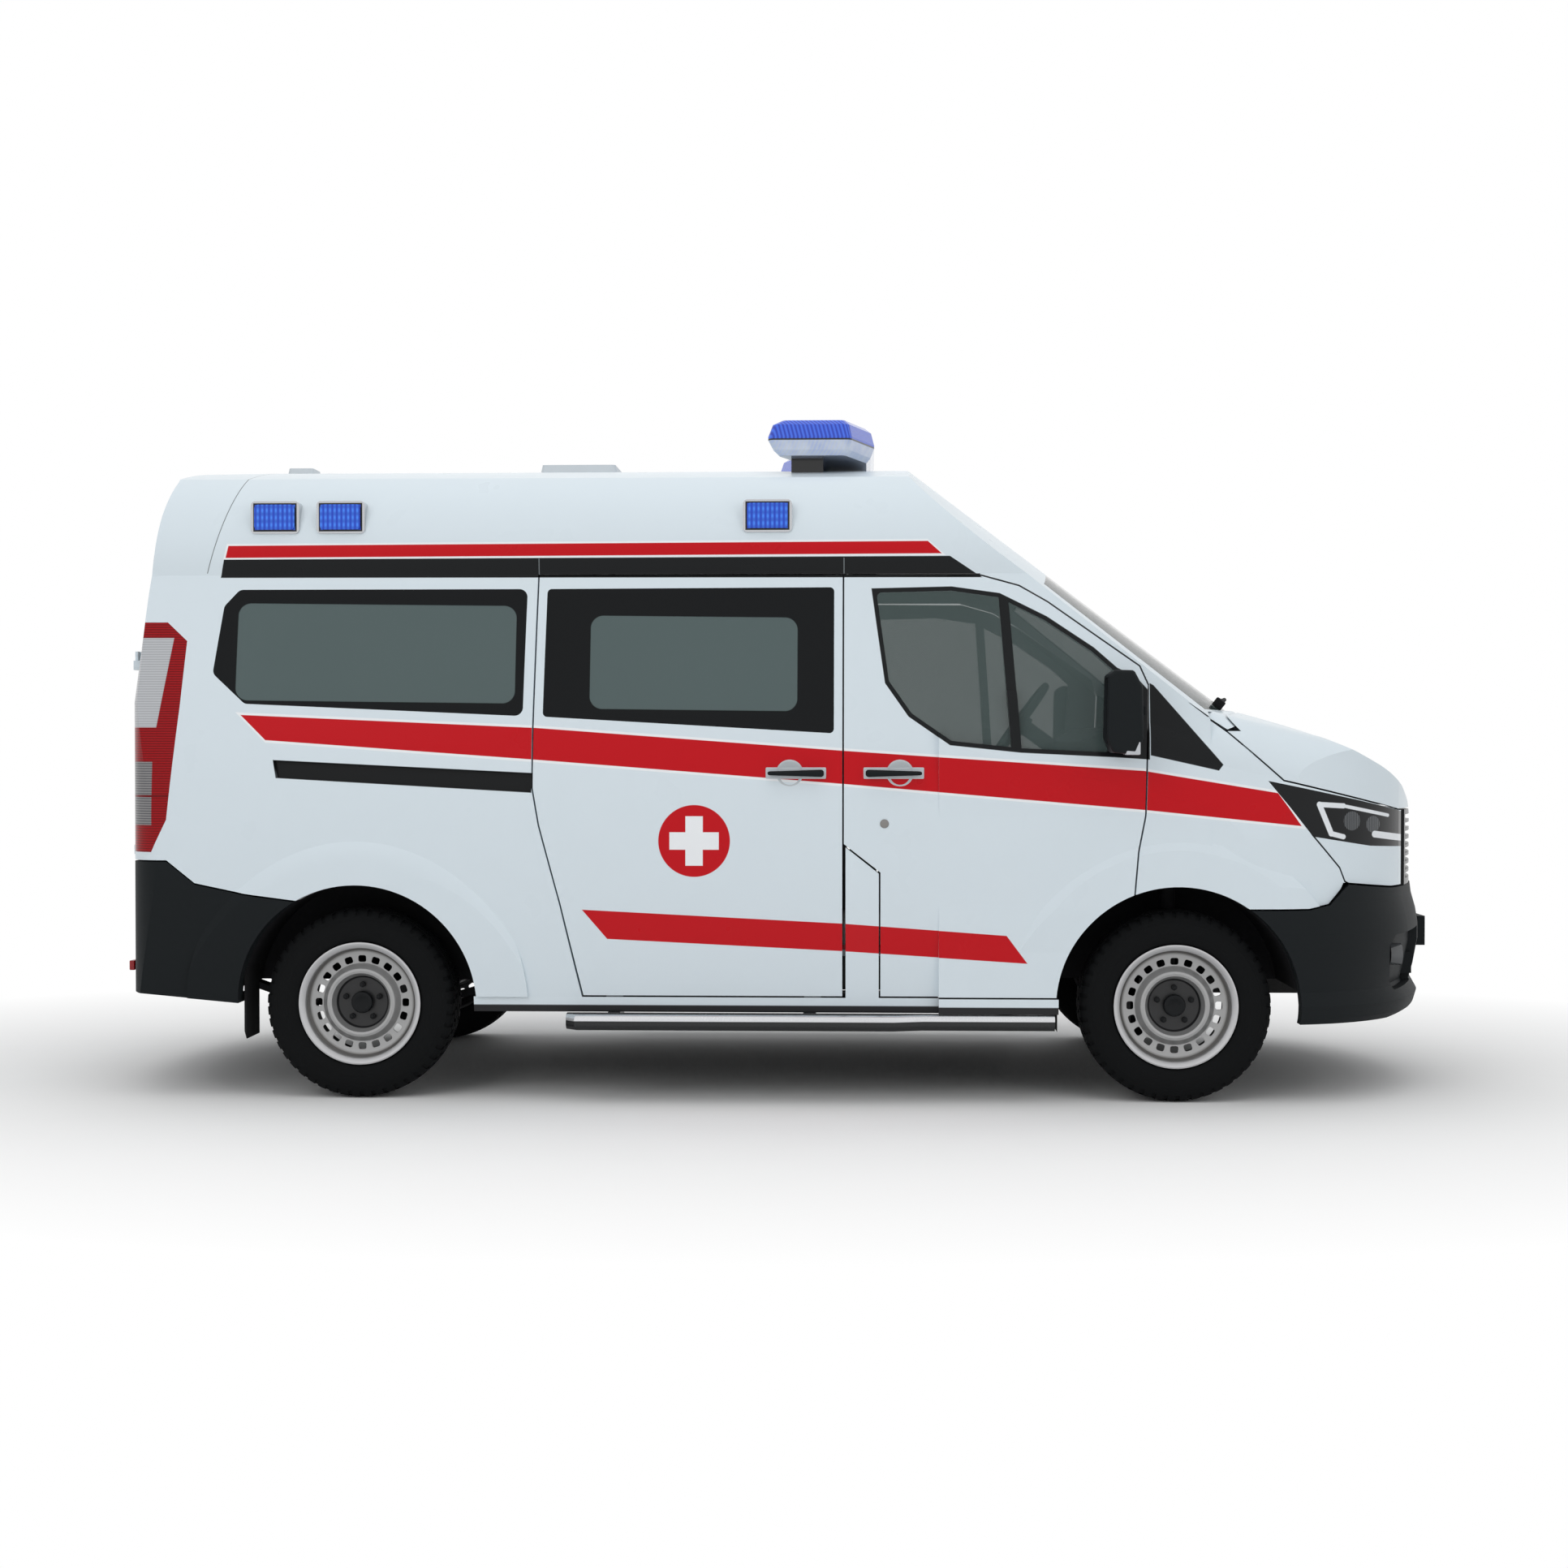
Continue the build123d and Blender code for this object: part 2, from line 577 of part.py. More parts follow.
PLATE = (520.0, 112.0)  # number plate holder
PLATE_Z = 565.0
PLATE_SCREWS = 380.0
SCOOP = [(2232, 552), (2262, 590), (2440, 600), (2440, 398), (2262, 386), (2238, 420)]
SCOOP_DEPTH = 26.0
SCOOP_NEAR = 430.0
INTAKE_Z = (402.0, 436.0, 470.0)
recess = bumper_solid(SCOOP_DEPTH)
with BuildPart() as front_bumper:
    add(bumper_solid(0))
    add(bumper_solid(BUMPER_WALL), mode=Mode.SUBTRACT)
    add(full_width(BUMPER_FRONT), mode=Mode.INTERSECT)
    add(arch_front, mode=Mode.SUBTRACT)
    add(mirror(arch_front, about=Plane.XZ), mode=Mode.SUBTRACT)
    add(both_sides(side_view(SCOOP, near=SCOOP_NEAR, corner=14) - recess), mode=Mode.SUBTRACT)
    for z in INTAKE_Z:
        add(block((2300, 2500), (-330, 330), (z, z + 22)) - recess, mode=Mode.SUBTRACT)
    for side in (1, -1):
        add(block((RAIL_FRONT, 2390), sorted((side * RAIL_Y[0], side * RAIL_Y[1])), (420, 500)))
    with BuildSketch(Plane.YZ.offset(FRONT_X - 50)):
        with Locations((0, PLATE_Z)):
            Rectangle(*PLATE)
    extrude(amount=50)
    with BuildSketch(Plane.YZ.offset(FRONT_X)):
        with Locations((-PLATE_SCREWS / 2, PLATE_Z), (PLATE_SCREWS / 2, PLATE_Z)):
            Circle(3)
    extrude(amount=-40, mode=Mode.SUBTRACT)
save(front_bumper.part, "front_bumper")

FOG_Y = 705.0
FOG_Z = 515.0
FOG_RADIUS = 40.0
fog_lamp = rod((2248, -FOG_Y, FOG_Z), (2290, -FOG_Y, FOG_Z), FOG_RADIUS) - front_bumper.part
save(both_sides(fog_lamp), "fog_lamps")

# ---------------------------------------------------------------- rear
REAR_WINDOW_Y = (110, 690)
REAR_WINDOW_Z = (1400, 1800)
with BuildPart() as rear_window_hole:
    with BuildSketch(Plane.YZ.offset(REAR_X)) as hole:
        with Locations((-sum(REAR_WINDOW_Y) / 2, sum(REAR_WINDOW_Z) / 2)):
            RectangleRounded(
                REAR_WINDOW_Y[1] - REAR_WINDOW_Y[0], REAR_WINDOW_Z[1] - REAR_WINDOW_Z[0], 50
            )
    extrude(amount=500)
with BuildPart() as rear_door:
    add(shell.part)
    add(
        block((REAR_X, -2100), (-REAR_DOOR_HALF, -GAP), (REAR_DOOR_FOOT, DOOR_TOP)), mode=Mode.INTERSECT
    )
    add(rear_window_hole.part, mode=Mode.SUBTRACT)
    add(rear_hinge(True))
save_pair(rear_door.part, "rear_door")
with BuildPart() as rear_glass:
    add(glass_layer.part)
    add(rear_window_hole.part, mode=Mode.INTERSECT)
save_pair(rear_glass.part, "rear_glass")
save(both_sides(panel(TAIL_LAMP, near=TAIL_LAMP_INNER)), "tail_lamps")

STEP_TOP = 520.0
STEP_FOOT = 392.0
corner_outline = REAR_BUMPER_TOP + [(-1600, 345), (-1900, 345), (REAR_X, 400)]
with BuildPart() as rear_step:
    with BuildSketch(Plane.XY.offset(STEP_FOOT)):
        with BuildLine():
            ThreePointArc((-2340, 800), (REAR_X, 0), (-2340, -800))
            for side in (1, -1):
                ThreePointArc((-2340, side * 800), (-2275, side * 905), (-2150, side * 960))
                Polyline((-2150, side * 960), (-2150, side * 900), (-2262, side * 820))
            Line((-2262, 820), (-2262, -820))
        make_face()
    extrude(amount=STEP_TOP - STEP_FOOT)
    rear_edges = rear_step.edges().filter_by(lambda edge: edge.center().X < -2270 and edge.length > 400)
    fillet(rear_edges, radius=22)
with BuildPart() as rear_bumper:
    add(both_sides(panel(corner_outline, arch_rear, layer=flared_shell.part, near=REAR_DOOR_HALF + GAP)))
    add(rear_step.part)
save(rear_bumper.part, "rear_bumper")

# ---------------------------------------------------------------- floor and underbody
SILL_OUTLINE = [
    (-1066, SILL_Z), (1024, SILL_Z), (1024, DOOR_FOOT - GAP), (393 - GAP, DOOR_FOOT - GAP),
    (393 - GAP, 820), (DOOR_SPLIT + 2 * GAP, 913), (DOOR_SPLIT + 2 * GAP, DOOR_FOOT - GAP),
    (-1066, DOOR_FOOT - GAP),
]
sill = panel(SILL_OUTLINE, near=700)
WEB_Y = (700, 740)
BUFFER_X = (600.0, 650.0)  # where a shut front door rests against the floor's edge
with BuildPart() as floor_pan:
    add(cabin)
    add(block((-2262, FIREWALL_X), (-960, 960), (RAIL_Z[1], FLOOR_TOP)), mode=Mode.INTERSECT)
    for axle, inner in ((REAR_AXLE_X, HOUSING_INNER_REAR), (FRONT_AXLE_X, HOUSING_INNER_FRONT)):
        for side in (1, -1):
            y = sorted((side * (inner - 2), side * 1100))
            radius = ARCH_RADIUS + HOUSING_WALL + 2
            add(block((axle - radius, axle + radius), y, (0, 1000)), mode=Mode.SUBTRACT)
    add(both_sides(sill))
    buffers = block(BUFFER_X, (850, 960), (FLOOR_TOP - FLOOR_PLATE, FLOOR_TOP))
    add(both_sides(buffers & body_solid(WALL + SEAT)))
    for side in (1, -1):
        add(block((-1040, 990), sorted((side * WEB_Y[0], side * WEB_Y[1])), (DOOR_FOOT, RAIL_Z[1])))
        add(block((-2262, RAIL_FRONT), sorted((side * RAIL_Y[0], side * RAIL_Y[1])), RAIL_Z))
save(floor_pan.part, "floor_pan")


def wheel_housing(axle_x, inner) -> Part:
    """Lining over one wheel: a half ring with a wall on its inboard side."""
    door_room = block((0, DOOR_FRONT + GAP), (-1000, -HOUSING_OUTER_DOOR), (HOUSING_FOOT, 1000))
    with BuildPart() as housing:
        add(wheel_cylinder(axle_x, ARCH_RADIUS + HOUSING_WALL, near=inner, far=HOUSING_OUTER))
        add(wheel_cylinder(axle_x, ARCH_RADIUS, near=inner + HOUSING_WALL), mode=Mode.SUBTRACT)
        add(block((axle_x - 600, axle_x + 600), (-1000, 0), (HOUSING_FOOT, 1000)), mode=Mode.INTERSECT)
        add(shell.part, mode=Mode.SUBTRACT)
        add(door_room, mode=Mode.SUBTRACT)
    return housing.part


with BuildPart() as housings:
    add(both_sides(wheel_housing(REAR_AXLE_X, HOUSING_INNER_REAR)))
    add(both_sides(wheel_housing(FRONT_AXLE_X, HOUSING_INNER_FRONT)))
save(housings.part, "wheel_housings")


# ---------------------------------------------------------------- axles and wheels
KINGPIN_Y = 680.0
STUB_RADIUS = 30.0
HUB_DEPTH = 28.0  # outboard end of the stub from the wheel's middle
BEAM_RADIUS = 45.0


stub_end = -(WHEEL_Y + HUB_DEPTH - SEAT)
with BuildPart() as knuckle:
    add(rod((FRONT_AXLE_X, -KINGPIN_Y, 220), (FRONT_AXLE_X, -KINGPIN_Y, 500), 28))
    add(block((FRONT_AXLE_X - 45, FRONT_AXLE_X + 45), (-KINGPIN_Y - 50, 28 - KINGPIN_Y), (WHEEL_Z - 80, WHEEL_Z + 80)))
    add(rod((FRONT_AXLE_X, -KINGPIN_Y, WHEEL_Z), (FRONT_AXLE_X, stub_end, WHEEL_Z), STUB_RADIUS))
save_pair(knuckle.part, "knuckle")

with BuildPart() as front_subframe:
    add(block((1340, 1560), (-450, 450), (230, 330)))
    for side in (1, -1):
        y = sorted((side * 440, side * (KINGPIN_Y + 20)))
        add(block((FRONT_AXLE_X - 25, FRONT_AXLE_X + 25), y, (188, 220 - SEAT)))
        y = sorted((side * 400, side * 470))
        add(block((FRONT_AXLE_X - 60, FRONT_AXLE_X + 60), y, (188, 240)))
        y = sorted((side * RAIL_Y[0], side * RAIL_Y[1]))
        add(block((1380, 1520), y, (320, RAIL_Z[0])))
        top = (FRONT_AXLE_X, side * KINGPIN_Y, WHEEL_Z + ARCH_RADIUS - 1)
        add(rod((FRONT_AXLE_X, side * KINGPIN_Y, 500 + SEAT), top, 28))
save(front_subframe.part, "front_subframe")

SPRING_Y = (545, 615)
LEAF = 26.0
with BuildPart() as rear_axle:
    add(rod((REAR_AXLE_X, -740, WHEEL_Z), (REAR_AXLE_X, 740, WHEEL_Z), BEAM_RADIUS))
    add(rod((REAR_AXLE_X, stub_end, WHEEL_Z), (REAR_AXLE_X, -stub_end, WHEEL_Z), STUB_RADIUS))
    for side in (1, -1):
        with BuildSketch(Plane.XZ.offset(side * sum(SPRING_Y) / 2)):
            with BuildLine():
                ThreePointArc((-940, 420), (REAR_AXLE_X, 285), (-2090, 430))
                Line((-2090, 430), (-2090, 430 + LEAF))
                ThreePointArc((-2090, 430 + LEAF), (REAR_AXLE_X, 285 + LEAF), (-940, 420 + LEAF))
                Line((-940, 420 + LEAF), (-940, 420))
            make_face()
        extrude(amount=35, both=True)
        y = sorted((side * SPRING_Y[0], side * SPRING_Y[1]))
        for x in (-940, -2090):
            add(block((x - 25, x + 25), y, (415, RAIL_Z[1])))
save(rear_axle.part, "rear_axle")

# rim and tyre sections: distance from the wheel's axis, distance outboard of its middle
RIM = [
    (222, -92), (206, -82), (206, -52), (190, -34), (190, 18), (206, 36), (206, 82), (222, 92),
    (222, 98), (212, 98), (198, 84), (196, 62), (178, 50), (140, 46), (124, 72), (108, 72),
    (94, 34), (0, 34), (0, HUB_DEPTH), (STUB_RADIUS + SEAT, HUB_DEPTH), (STUB_RADIUS + SEAT, -20),
    (48, -20), (48, 26), (97, 26), (113, 62), (120, 62), (135, 38), (180, 42), (182, 26),
    (182, -40), (198, -58), (198, -86), (212, -98), (222, -98),
]
VENTS = 20
VENT_CIRCLE = 158.0
VENT_RADIUS = 9.0


def rim_outline() -> None:
    Polyline(*RIM, close=True)


def tyre_outline() -> None:
    bead = RIM_DIAMETER / 2 - 14
    half = TYRE_WIDTH / 2
    tread = TYRE_DIAMETER / 2
    for side in (1, -1):
        Polyline((bead, 0), (bead, side * 81.7), (224, side * 91.5))
        ThreePointArc((224, side * 91.5), (276, side * half), (318, side * (half - 8)))
        ThreePointArc((318, side * (half - 8)), (336, side * (half - 18)), (tread - 2, side * 74))
    ThreePointArc((tread - 2, 74), (tread, 0), (tread - 2, -74))


for place, axle_x in (("front", FRONT_AXLE_X), ("rear", REAR_AXLE_X)):
    with BuildPart() as rim:
        add(turned(axle_x, rim_outline))
        with BuildSketch(Plane((axle_x, -WHEEL_Y - 56, WHEEL_Z), x_dir=(1, 0, 0), z_dir=(0, 1, 0))):
            with PolarLocations(VENT_CIRCLE, VENTS):
                Circle(VENT_RADIUS)
        extrude(amount=25, mode=Mode.SUBTRACT)
    save_pair(rim.part, f"rim_{place}")
    save_pair(turned(axle_x, tyre_outline), f"tyre_{place}")

# ---------------------------------------------------------------- inside
with BuildPart() as engine:
    add(block((1480, 2080), (-330, 330), (330, 960)))
save(engine.part, "engine_block")

DASH = [(FIREWALL_X, 790), (FIREWALL_X, 1330), (1230, 1345), (1120, 1290), (1090, 1120), (1160, 790)]
COLUMN_RAKE = 36.0  # degrees above level
WHEEL_CENTRE = Vector(975, 420, 1370)
column_axis = Vector(-cos(radians(COLUMN_RAKE)), 0, sin(radians(COLUMN_RAKE)))
with BuildPart() as dashboard:
    add(full_width(DASH, half=820))
    start = WHEEL_CENTRE - column_axis * 40
    add(rod(tuple(start), tuple(start - column_axis * 200), 32))
save(dashboard.part, "dashboard")

with BuildPart() as steering_wheel:
    hub = Plane(origin=tuple(WHEEL_CENTRE), z_dir=tuple(column_axis))
    with BuildSketch(Plane(origin=hub.origin, x_dir=hub.x_dir, z_dir=hub.y_dir)):
        with Locations((188, 0)):
            Circle(15)
    revolve(axis=Axis(hub.origin, column_axis))
    with BuildSketch(hub.offset(-39.5)):
        Circle(45)
    extrude(amount=50)
    for turn in (90, 210, 330):
        with BuildSketch(hub.offset(-10)):
            with Locations(Location((0, 0), turn)):
                with Locations((105, 0)):
                    Rectangle(150, 34)
        extrude(amount=16)
save(steering_wheel.part, "steering_wheel")

SEAT_SIDE = [
    (380, FLOOR_TOP), (800, FLOOR_TOP), (820, 800), (900, 830), (890, 950), (480, 930), (360, 1440),
    (340, 1640), (270, 1640), (275, 1440), (330, 900), (380, 800),
]
with BuildPart() as seats:
    for y in (430, -430):
        with BuildSketch(Plane.XZ.offset(-y)):
            with BuildLine():
                Polyline(*SEAT_SIDE, close=True)
            make_face()
        extrude(amount=245, both=True)
save(seats.part, "seats")

with BuildPart() as bulkhead:
    add(cabin)
    add(block((195, 225), (-1000, 1000), (FLOOR_TOP, 2400)), mode=Mode.INTERSECT)
    add(block((100, 300), (-300, 300), (1300, 1700)), mode=Mode.SUBTRACT)
save(bulkhead.part, "bulkhead")

with BuildPart() as fuel_tank:
    add(block((-650, 150), (470, 690), (290, RAIL_Z[1])))
save(fuel_tank.part, "fuel_tank")

with BuildPart() as exhaust:
    add(rod((1250, -250, 430), (-2250, -250, 430), 32))
    add(rod((300, -250, 430), (-350, -250, 430), 85))
    for x in (1100, -900, -2150):
        add(block((x - 15, x + 15), (-262, -238), (430, RAIL_Z[1])))
save(exhaust.part, "exhaust")

# ---------------------------------------------------------------- outside fittings
SIDE_STEP = [
    (-728, 955), (-728, 1004), (-694, 1038), (440, 1038), (545, 1008), (1010, 1008), (1010, 955),
]
SIDE_STEP_Z = (262.0, 318.0)
with BuildPart() as side_step:
    with BuildSketch(Plane.XY.offset(SIDE_STEP_Z[0])):
        with BuildLine():
            Polyline(*[(x, -y) for x, y in SIDE_STEP], close=True)
        make_face()
    extrude(amount=SIDE_STEP_Z[1] - SIDE_STEP_Z[0])
    outer = side_step.edges().filter_by(Plane.XY).filter_by(lambda edge: edge.center().Y < -1000)
    fillet(outer, radius=20)
    for x in (-560, 140, 840):
        add(block((x - 22, x + 22), (-960, -820), (SIDE_STEP_Z[0] + 34, SILL_Z)))
save(both_sides(side_step.part), "side_steps")

FLAP_X = ((REAR_AXLE_X, REAR_AXLE_X - 420), (FRONT_AXLE_X, FRONT_AXLE_X - 430))
flaps = [
    wheel_cylinder(axle_x, ARCH_RADIUS) & block((x, x + 8), (-925, -750), (210, 520))
    for axle_x, x in FLAP_X
]
save(both_sides(flaps[0] + flaps[1]), "mud_flaps")

MIRROR_Y = (1012.0, 1150.0)
with BuildPart() as mirror_head:
    with BuildSketch(Plane.XZ.offset(MIRROR_Y[0])) as head:
        with BuildLine():
            Polyline(
                (1180, 1520), (1176, 1300), (1196, 1250), (1280, 1243), (1304, 1300), (1300, 1480),
                (1270, 1536), (1206, 1538), close=True,
            )
        make_face()
        fillet(head.vertices(), radius=16)
    extrude(amount=MIRROR_Y[1] - MIRROR_Y[0])
    fillet(mirror_head.faces().sort_by(Axis.Y)[0].edges(), radius=14)
    with BuildSketch(Plane.YZ.offset(1170)):
        with Locations((-sum(MIRROR_Y) / 2, 1396)):
            RectangleRounded(106, 232, 22)
    extrude(amount=24, mode=Mode.SUBTRACT)
    with BuildSketch(Plane.XZ.offset(930)):
        with BuildLine():
            Polyline((1226, 1372), (1322, 1382), (1322, 1412), (1250, 1430), close=True)
        make_face()
    extrude(amount=MIRROR_Y[0] + 20 - 930)
    add(outer_body, mode=Mode.SUBTRACT)
    add(outer_nose, mode=Mode.SUBTRACT)
save_pair(mirror_head.part, "door_mirror")

LAMP_X = (-1804.0, -1564.0, -14.0)
LAMP_Z = 2103.0
with BuildPart() as warning_lamps:
    for width, height, reach in ((176, 118, 866), (148, 92, 876)):
        with BuildSketch(Plane.XZ.offset(780)):
            with Locations(*[(x, LAMP_Z) for x in LAMP_X]):
                RectangleRounded(width, height, 16)
        extrude(amount=reach - 780)
    add(outer_body, mode=Mode.SUBTRACT)
save(both_sides(warning_lamps.part), "warning_lamps")

BAR = [(-34, 600), (283, 600), (372, 330), (372, -330), (283, -600), (-34, -600), (60, -330), (60, 330)]
# height, how far the bar's outline stands in there
BAR_LEVELS = [(2356, 30), (2376, 14), (2412, 0), (2424, 0), (2470, 12), (2488, 34)]
with BuildPart() as light_bar:
    for height, inset in BAR_LEVELS:
        with BuildSketch(Plane.XY.offset(height)) as level:
            with BuildLine():
                Polyline(*BAR, close=True)
            make_face()
            if inset:
                offset(amount=-inset, kind=Kind.INTERSECTION)
            fillet(level.vertices(), radius=24)
    loft(ruled=True)
    for side in (1, -1):
        add(block((60, 180), sorted((side * 420, side * 500)), (2200, 2365)))
    add(outer_body, mode=Mode.SUBTRACT)
save(light_bar.part, "light_bar")

VENTS_ON_ROOF = (((-1976, -1845), 160), ((-951, -629), 300))  # x limits, width
VENT_TOP = 2380.0
with BuildPart() as roof_vents:
    for (rear, front), width in VENTS_ON_ROOF:
        with BuildSketch(Plane.XY.offset(2300)):
            with Locations(((rear + front) / 2, 0)):
                RectangleRounded(front - rear, width, 30)
        extrude(amount=VENT_TOP - 2300, taper=12)
    add(outer_body, mode=Mode.SUBTRACT)
save(roof_vents.part, "roof_vents")

# ---------------------------------------------------------------- load space fittings
BENCH_TOP = 940.0
with BuildPart() as bench:
    add(block((-1980, -940), (-900, -500), (800, BENCH_TOP)))
    add(block((-1980, -940), (-520, -500), (FLOOR_TOP, 800)))
    for x in (-1980, -960):
        add(block((x, x + 20), (-640, -500), (FLOOR_TOP, 800)))
save(bench.part, "crew_bench")

with BuildPart() as cabinet:
    add(block((-620, 180), (560, 880), (FLOOR_TOP, 1250)))
save(cabinet.part, "cabinet")

STRETCHER_X = (-2080.0, -180.0)
STRETCHER_Y = (-20.0, 540.0)
STRETCHER_TOP = 900.0
with BuildPart() as stretcher:
    add(block(STRETCHER_X, STRETCHER_Y, (STRETCHER_TOP - 130, STRETCHER_TOP - 90)))
    add(block((-2020, -240), (20, 500), (FLOOR_TOP + 40, FLOOR_TOP + 76)))
    for x in (-1900, -360):
        for y in (60, 430):
            add(block((x, x + 40), (y, y + 30), (FLOOR_TOP, STRETCHER_TOP - 110)))
save(stretcher.part, "stretcher_frame")

with BuildPart() as mattress:
    with BuildSketch(Plane.XY.offset(STRETCHER_TOP - 90)):
        with Locations((sum(STRETCHER_X) / 2, sum(STRETCHER_Y) / 2)):
            RectangleRounded(
                STRETCHER_X[1] - STRETCHER_X[0] - 20, STRETCHER_Y[1] - STRETCHER_Y[0] - 20, 90
            )
    extrude(amount=90)
    fillet(mattress.faces().sort_by(Axis.Z)[-1].edges(), radius=25)
save(mattress.part, "mattress")
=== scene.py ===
"""Looks of a high-roof ambulance van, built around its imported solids.

Lengths are in metres. +X is forward, +Y is the vehicle's left and +Z is up, with the origin on
the ground in the middle of the vehicle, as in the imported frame.
"""

from __future__ import annotations

import json
import logging
import math
from dataclasses import dataclass
from enum import Enum
from typing import Any, Callable, Iterable, Sequence

import bpy
from mathutils import Matrix, Vector

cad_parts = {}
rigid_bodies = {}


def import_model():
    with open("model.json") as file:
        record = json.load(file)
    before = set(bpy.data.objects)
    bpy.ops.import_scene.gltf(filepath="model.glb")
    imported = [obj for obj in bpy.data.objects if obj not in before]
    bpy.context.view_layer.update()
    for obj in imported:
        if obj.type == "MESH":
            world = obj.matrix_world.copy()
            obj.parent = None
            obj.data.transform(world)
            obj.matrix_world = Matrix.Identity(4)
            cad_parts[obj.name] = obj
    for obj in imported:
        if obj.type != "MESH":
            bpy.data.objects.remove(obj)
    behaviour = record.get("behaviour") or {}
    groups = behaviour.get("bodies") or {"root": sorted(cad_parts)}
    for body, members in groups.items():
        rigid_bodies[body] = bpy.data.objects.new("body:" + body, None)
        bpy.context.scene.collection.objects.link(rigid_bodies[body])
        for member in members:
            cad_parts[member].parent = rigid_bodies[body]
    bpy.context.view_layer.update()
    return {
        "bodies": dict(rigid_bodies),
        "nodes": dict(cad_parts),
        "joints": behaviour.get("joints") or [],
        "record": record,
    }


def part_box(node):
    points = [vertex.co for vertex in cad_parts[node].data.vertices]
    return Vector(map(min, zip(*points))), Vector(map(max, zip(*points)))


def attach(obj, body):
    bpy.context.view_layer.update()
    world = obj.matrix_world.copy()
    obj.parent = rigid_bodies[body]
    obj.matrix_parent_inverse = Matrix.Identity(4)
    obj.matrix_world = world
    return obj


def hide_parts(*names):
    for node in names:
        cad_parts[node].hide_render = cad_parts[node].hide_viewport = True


LOG = logging.getLogger("ambulance")
Point = tuple[float, float]
Place = tuple[float, float, float]
Colour = tuple[float, float, float]

SIDES: dict[str, int] = {"right": -1, "left": 1}


# ---------------------------------------------------------------- shader maths
class Value:
    """A number socket that takes Python's arithmetic and adds the Math nodes for it."""

    def __init__(self, graph: Graph, socket: bpy.types.NodeSocket) -> None:
        """Wraps a socket.

        Args:
            graph: the material's graph.
            socket: the output socket that carries the number.
        """
        self.graph = graph
        self.socket = socket

    def _math(self, operation: str, other: Any = 0.0, flipped: bool = False, clamp: bool = False) -> Value:
        """Adds one Math node.

        Args:
            operation: the Math node's operation.
            other: the second operand, a number or a Value.
            flipped: whether the second operand comes first.
            clamp: whether the result is kept from 0 to 1.

        Returns:
            The result.
        """
        pair = (other, self) if flipped else (self, other)
        settings = {"operation": operation, "use_clamp": clamp}
        return self.graph.value("ShaderNodeMath", settings, {0: pair[0], 1: pair[1]})

    def __add__(self, other: Any) -> Value:
        """Adds."""
        return self._math("ADD", other)

    __radd__ = __add__

    def __sub__(self, other: Any) -> Value:
        """Subtracts."""
        return self._math("SUBTRACT", other)

    def __rsub__(self, other: Any) -> Value:
        """Subtracts this from a number."""
        return self._math("SUBTRACT", other, flipped=True)

    def __mul__(self, other: Any) -> Value:
        """Multiplies."""
        return self._math("MULTIPLY", other)

    __rmul__ = __mul__

    def most(self, other: Any) -> Value:
        """The greater of the two."""
        return self._math("MAXIMUM", other)

    def least(self, other: Any) -> Value:
        """The lesser of the two."""
        return self._math("MINIMUM", other)

    def size(self) -> Value:
        """The value without its sign."""
        return self._math("ABSOLUTE")

    def root(self) -> Value:
        """The square root."""
        return self._math("SQRT")

    def wave(self) -> Value:
        """The sine."""
        return self._math("SINE")

    def clamped(self) -> Value:
        """The value kept from 0 to 1."""
        return self._math("ADD", 0.0, clamp=True)

    def edge(self, width: float = 0.002) -> Value:
        """1 where the value is above 0 and 0 elsewhere, with a soft edge of that width."""
        return (self * (1.0 / width))._math("ADD", 0.5, clamp=True)


